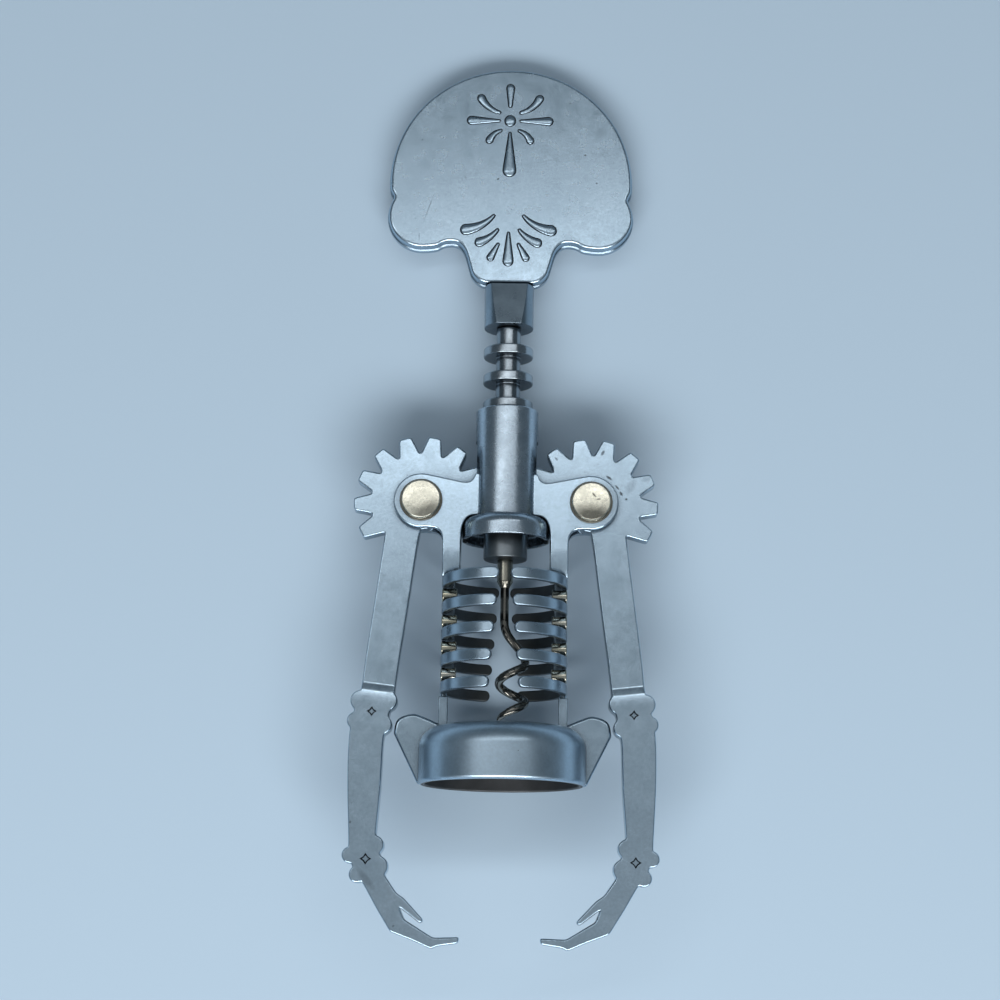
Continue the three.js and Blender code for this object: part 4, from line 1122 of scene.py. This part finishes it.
def skull_outline():
    """The whole outline, clockwise from the crown."""
    end = skull_point(CRANIUM_END_SHARES)
    end_angle = degrees(atan2(end.y - skull_centre, end.x))
    crown = arc(0, skull_centre, SKULL_RADIUS, 90, end_angle, 60)
    bone = skull_point(CHEEKBONE_SHARES)
    cheek = arc(*bone, CHEEKBONE_SHARES[2] * SKULL_RADIUS, *CHEEKBONE_SWEEP, 36)
    under = spline([cheek[-1], *map(skull_point, CHEEK_UNDER_SHARES)])[1:]
    jaw = bend(*map(skull_point, JAW_SHARES), Vector((JAW_FOOT_SHARE * SKULL_RADIUS, skull_jaw)))
    right = [*crown, skull_point(NOTCH_SHARES), *cheek, *under, *jaw]
    return softened([*right, *mirrored(right)[:-1]], SKULL_SPACING, 2)


# %% Shapes pressed into a flat face
DOME_SHARES = (1, 0.97, 0.9, 0.8, 0.65, 0.45, 0.2)


def opened(bm, side):
    """Takes away the largest flat face on one side and returns the edges round the hole."""
    bm.normal_update()
    face = max((face for face in bm.faces if face.normal.z * side > FLAT), key=lambda face: face.calc_area())
    edges = list(face.edges)
    bmesh.ops.delete(bm, geom=[face], context="FACES_ONLY")
    return edges


def pressed(bm, rings, dark_bands=0):
    """A dome or a hollow of rings of points, each bridged to the next; returns the edges of its mouth."""
    loops = []
    for ring in rings:
        verts = [bm.verts.new(point) for point in ring]
        loops.append([bm.edges.new((verts[i - 1], verts[i])) for i in range(len(verts))])
    for band, (outer, inner) in enumerate(zip(loops, loops[1:])):
        made = bmesh.ops.bridge_loops(bm, edges=outer + inner)
        # The first bands, which make a groove, take the second material: painted shade
        for face in made["faces"]:
            face.material_index = 1 if band < dark_bands else 0
    bmesh.ops.edgeloop_fill(bm, edges=loops[-1])
    return loops[0]


# %% Teardrops
DROP_ROUND = 8
DROP_SIDE = 10


def drop_line(tip, end, tip_radius, head_radius, turn, share, grow):
    """A teardrop at a share of its widths, grown by a margin: points (x, y, share of the full height)."""
    tip, end = Vector(tip), Vector(end)
    angle = radians(turn)
    spread = angle / 2 / sin(angle / 2) if turn else 1
    length = ((end - tip).length - tip_radius - head_radius) * spread
    thin, wide = tip_radius * share + grow, head_radius * share + grow
    side = [(length * i / DROP_SIDE, thin + (wide - thin) * i / DROP_SIDE) for i in range(1, DROP_SIDE)]
    flat = [*arc(length, 0, wide, -90, 90, DROP_ROUND), *reversed(side)]
    flat += [*arc(0, 0, thin, 90, 270, DROP_ROUND), *[(along, -across) for along, across in side]]
    heading = Matrix.Rotation(atan2(end.y - tip.y, end.x - tip.x), 2)
    start = tip + (end - tip).normalized() * tip_radius
    line = []
    for along, across in flat:
        reach = min(1, max(0, along / length))
        place = Vector((along, across))
        if turn:
            bow = angle * (along / length - 0.5)
            place = Vector((
                length / angle * (sin(bow) + sin(angle / 2)) - across * sin(bow),
                length / angle * (cos(angle / 2) - cos(bow)) + across * cos(bow),
            ))
        place = start + heading @ place
        size = (tip_radius + (head_radius - tip_radius) * reach) / head_radius
        line.append((place.x, place.y, (1 + size) / 2))
    return line


ORNAMENT_X = -0.5
STAR_Y = 171.75
# Each row: tip, end, tip radius, head radius and turn; rows with a tip beside the middle come in pairs
TEARDROPS = [
    ((0, STAR_Y - 1.4), (0, STAR_Y + 1.4), 1.3, 1.3, 0),
    ((0, 175.6), (0, 181.9), 0.4, 0.95, 0),
    ((0, 168.5), (0, 156.4), 0.22, 1.6, 0),
    ((2.6, STAR_Y), (11.1, STAR_Y), 0.22, 1.05, 0),
    ((2.6, 173.9), (8.3, 178.6), 0.3, 0.95, 50),
    ((2.2, 169.2), (5.9, 165.7), 0.28, 0.85, -50),
    ((0, 141), (0, 132), 0.25, 1.25, 0),
    ((2.5, 138), (4.9, 133.4), 0.3, 0.85, 0),
    ((2.6, 141.8), (8.3, 137.6), 0.3, 1.1, 34),
    ((3.6, 145.6), (12.1, 141), 0.3, 1.35, 42),
]
GROOVE = 0.24
GROOVE_DEPTH = 0.22
GROOVE_FLOOR_SHARE = 0.55
DROP_RISE = 0.3
DROP_SINK = 0.05


def ornament(bm):
    """Presses each teardrop and its groove into the open top; returns the edges of the holes."""
    edges = []
    for tip, end, tip_radius, head_radius, turn in TEARDROPS:
        for sign in (-1, 1) if tip[0] > 0 else (1,):
            near = (ORNAMENT_X + sign * tip[0], tip[1])
            far = (ORNAMENT_X + sign * end[0], end[1])
            drop = (near, far, tip_radius, head_radius, sign * turn)
            rings = [
                [(x, y, skull_high.z - sink) for x, y, _ in drop_line(*drop, 1, GROOVE * margin)]
                for margin, sink in ((1, 0), (GROOVE_FLOOR_SHARE, GROOVE_DEPTH))
            ]
            for share in DOME_SHARES:
                rise = head_radius * DROP_RISE * sqrt(1 - share ** 2)
                line = drop_line(*drop, share, 0)
                rings.append([(x, y, skull_high.z - DROP_SINK + rise * part) for x, y, part in line])
            # The two groove bands take the second material: painted shade
            edges += pressed(bm, rings, 2)
    return edges


print(f"{len(TEARDROPS)} kinds of teardrop")

# %% Face on the hidden side
EYE_SHARES = (0.35, -0.14, 0.235, 0.205)
NOSE_SHARES = [(0, -0.27), (0.095, -0.47), (0, -0.43), (-0.095, -0.47)]
TOOTH_SHARES = (-0.2, -0.1, 0, 0.1, 0.2)
TEETH_LOW_SHARE = -0.86
TEETH_HIGH_SHARE = -0.66
NOSE_SPACING = 0.4
FACE_DEPTH = 0.9
EYE_DEPTH = FACE_DEPTH * 1.4
TOOTH_LINE_WIDTH = 0.6


def oval(x, y, width, height):
    """An ellipse round a centre."""
    return [Vector((x + point.x * width, y + point.y * height)) for point in arc(0, 0, 1, 0, 345, 23)]


def hollow(bm, line, depth):
    """Presses a bowl with this outline into the open bottom; returns the edges of its mouth."""
    centre = sum(line, Vector((0, 0))) / len(line)
    rings = []
    for share in DOME_SHARES:
        height = skull_low.z + depth * sqrt(1 - share ** 2)
        rings.append([(*centre.lerp(point, share), height) for point in line])
    return pressed(bm, rings)


def hidden_face(bm):
    """Two eyes, a nose and the lines between the teeth; returns the edges of their mouths."""
    x, y, width, height = (share * SKULL_RADIUS for share in EYE_SHARES)
    bowls = [(oval(sign * x, skull_centre + y, width, height), EYE_DEPTH) for sign in (-1, 1)]
    bowls.append((softened(list(map(skull_point, NOSE_SHARES)), NOSE_SPACING, 3), FACE_DEPTH))
    for share in TOOTH_SHARES:
        low, high = skull_point((share, TEETH_LOW_SHARE)), skull_point((share, TEETH_HIGH_SHARE))
        line = oval(low.x, (low.y + high.y) / 2, TOOTH_LINE_WIDTH / 2, (high.y - low.y) / 2)
        bowls.append((line, FACE_DEPTH))
    return [edge for line, depth in bowls for edge in hollow(bm, line, depth)]


# %% Skull plate
TONGUE_WIDTH = 8.4
TONGUE_THICKNESS = 2.8
TONGUE_REACH = 2
SKULL_RIM = 0.75
FACE_RIM = 0.6
LEDGE = [(0.3, 0.3), (0.06, 1.5)]
# Scratches and pits
SKULL_MARKS = [
    (-21, 147.7, 2.3, 10, 0.22, 72, 0.6), (-23.4, 139.4, 2.3, 3, 0.2, 92, 0.5),
    (-11.85, 156, 2.3, 0.5, 0.4, 0, 0.5), (-3.4, 155.6, 2.3, 0.9, 0.6, 40, 0.9),
    (15.1, 176.9, 2.3, 0.6, 0.5, 0, 0.6), (19.1, 162.5, 2.3, 0.7, 0.5, 0, 0.8),
    (22.1, 154.8, 2.3, 0.6, 0.6, 0, 0.8), (-23.2, 166.2, 2.3, 0.5, 0.5, 0, 0.7),
]
skull_zinc = worn_metal("skull_zinc", ZINC, ZINC_SHADE, 0.24, marks=SKULL_MARKS)
skull = plate(skull_outline(), skull_low.z, skull_high.z, [*LEDGE, *rim(SKULL_RIM)], rim(FACE_RIM))
for side, press in ((1, ornament), (-1, hidden_face)):
    edges = opened(skull, side)
    edges += press(skull)
    bmesh.ops.triangle_fill(skull, use_beauty=True, edges=edges, normal=(0, 0, side))
bmesh.ops.recalc_face_normals(skull, faces=skull.faces)
tongue_high = Vector((TONGUE_WIDTH / 2, skull_jaw + TONGUE_REACH, TONGUE_THICKNESS / 2))
tongue = block((-tongue_high.x, skull_low.y, -tongue_high.z), tongue_high, 0.2)
finish_piece("skull", together(skull, tongue), "skull_plate", [skull_zinc, painted_recess_shade], "screw")

# %% [markdown]
# ## The spindle
# Only a sliver of it shows between the rack and the socket, so the CAD node stays and gets a finish.

# %% Spindle
spindle = frame["nodes"]["spindle"]
spindle.data.materials.clear()
spindle.data.materials.append(steel)
print("spindle keeps its CAD mesh")

# %% [markdown]
# ## Camera, floor and light
# The camera stands where the photographer stood, a little to the bell's side of straight above. The floor is
# pale and plain. Two soft panels hang overhead, which the flat faces mirror, and a strong one leans in from
# the bell's end and lights up the rims that face it.

# %% Camera
CAMERA_AT = Vector((-0.15, -41, 484))
CAMERA_AIM = Vector((-0.15, 71, 0))
CAMERA_ROLL = radians(0.9)
FOCAL_SHARE = 1.98716
SENSOR = 36
SHIFT = -0.0056
camera = added("camera", bpy.data.cameras.new("camera"))
camera.data.sensor_width = SENSOR
camera.data.lens = SENSOR * FOCAL_SHARE
camera.data.shift_x = SHIFT
camera.data.clip_start = 0.01
back = (axes.to_3x3() @ (CAMERA_AT - CAMERA_AIM)).normalized()
right = UP.cross(back).normalized()
turn = Matrix((right, back.cross(right), back)).transposed().to_4x4() @ Matrix.Rotation(CAMERA_ROLL, 4, "Z")
camera.matrix_world = Matrix.Translation(TO_ROOM @ CAMERA_AT) @ turn
bpy.context.scene.camera = camera
print("camera at", tuple(round(value, 4) for value in camera.location))

# %% Floor
FLOOR_SIZE = 3
grid = bmesh.new()
bmesh.ops.create_grid(grid, x_segments=1, y_segments=1, size=FLOOR_SIZE / 2)
floor = added("floor", meshed("floor", grid))
paper = bpy.data.materials.new("pale_paper")
paper.use_nodes = True
feed(paper.node_tree.nodes["Principled BSDF"], {"Base Color": (0.5, 0.64, 0.77), "Roughness": 0.9})
floor.data.materials.append(paper)
floor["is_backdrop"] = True

# %% Lights


def panel(name, place, size, power):
    """A soft panel of (width, length) that faces the tool."""
    light = bpy.data.lights.new(name, "AREA")
    light.shape = "RECTANGLE"
    light.size, light.size_y = size
    light.energy = power
    item = added(name, light)
    item.location = place
    item.rotation_mode = "QUATERNION"
    item.rotation_quaternion = (-Vector(place)).to_track_quat("-Z", "Y")


panel("ceiling_strip", (-0.08, 0.488, 1.12), (1.9, 0.165), 1.9)
panel("ceiling", (-0.03, -0.055, 1.2), (2.1, 1.62), 2.6)
panel("window", (0, -0.9, 0.8), (1.5, 0.45), 15)
world = bpy.data.worlds.new("room")
bpy.context.scene.world = world
world.use_nodes = True
feed(world.node_tree.nodes["Background"], {"Color": (0.8, 1, 1.15), "Strength": 0.12})
bpy.context.scene.view_settings.view_transform = "Standard"

# %% Bounds of everything shown
low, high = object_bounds()
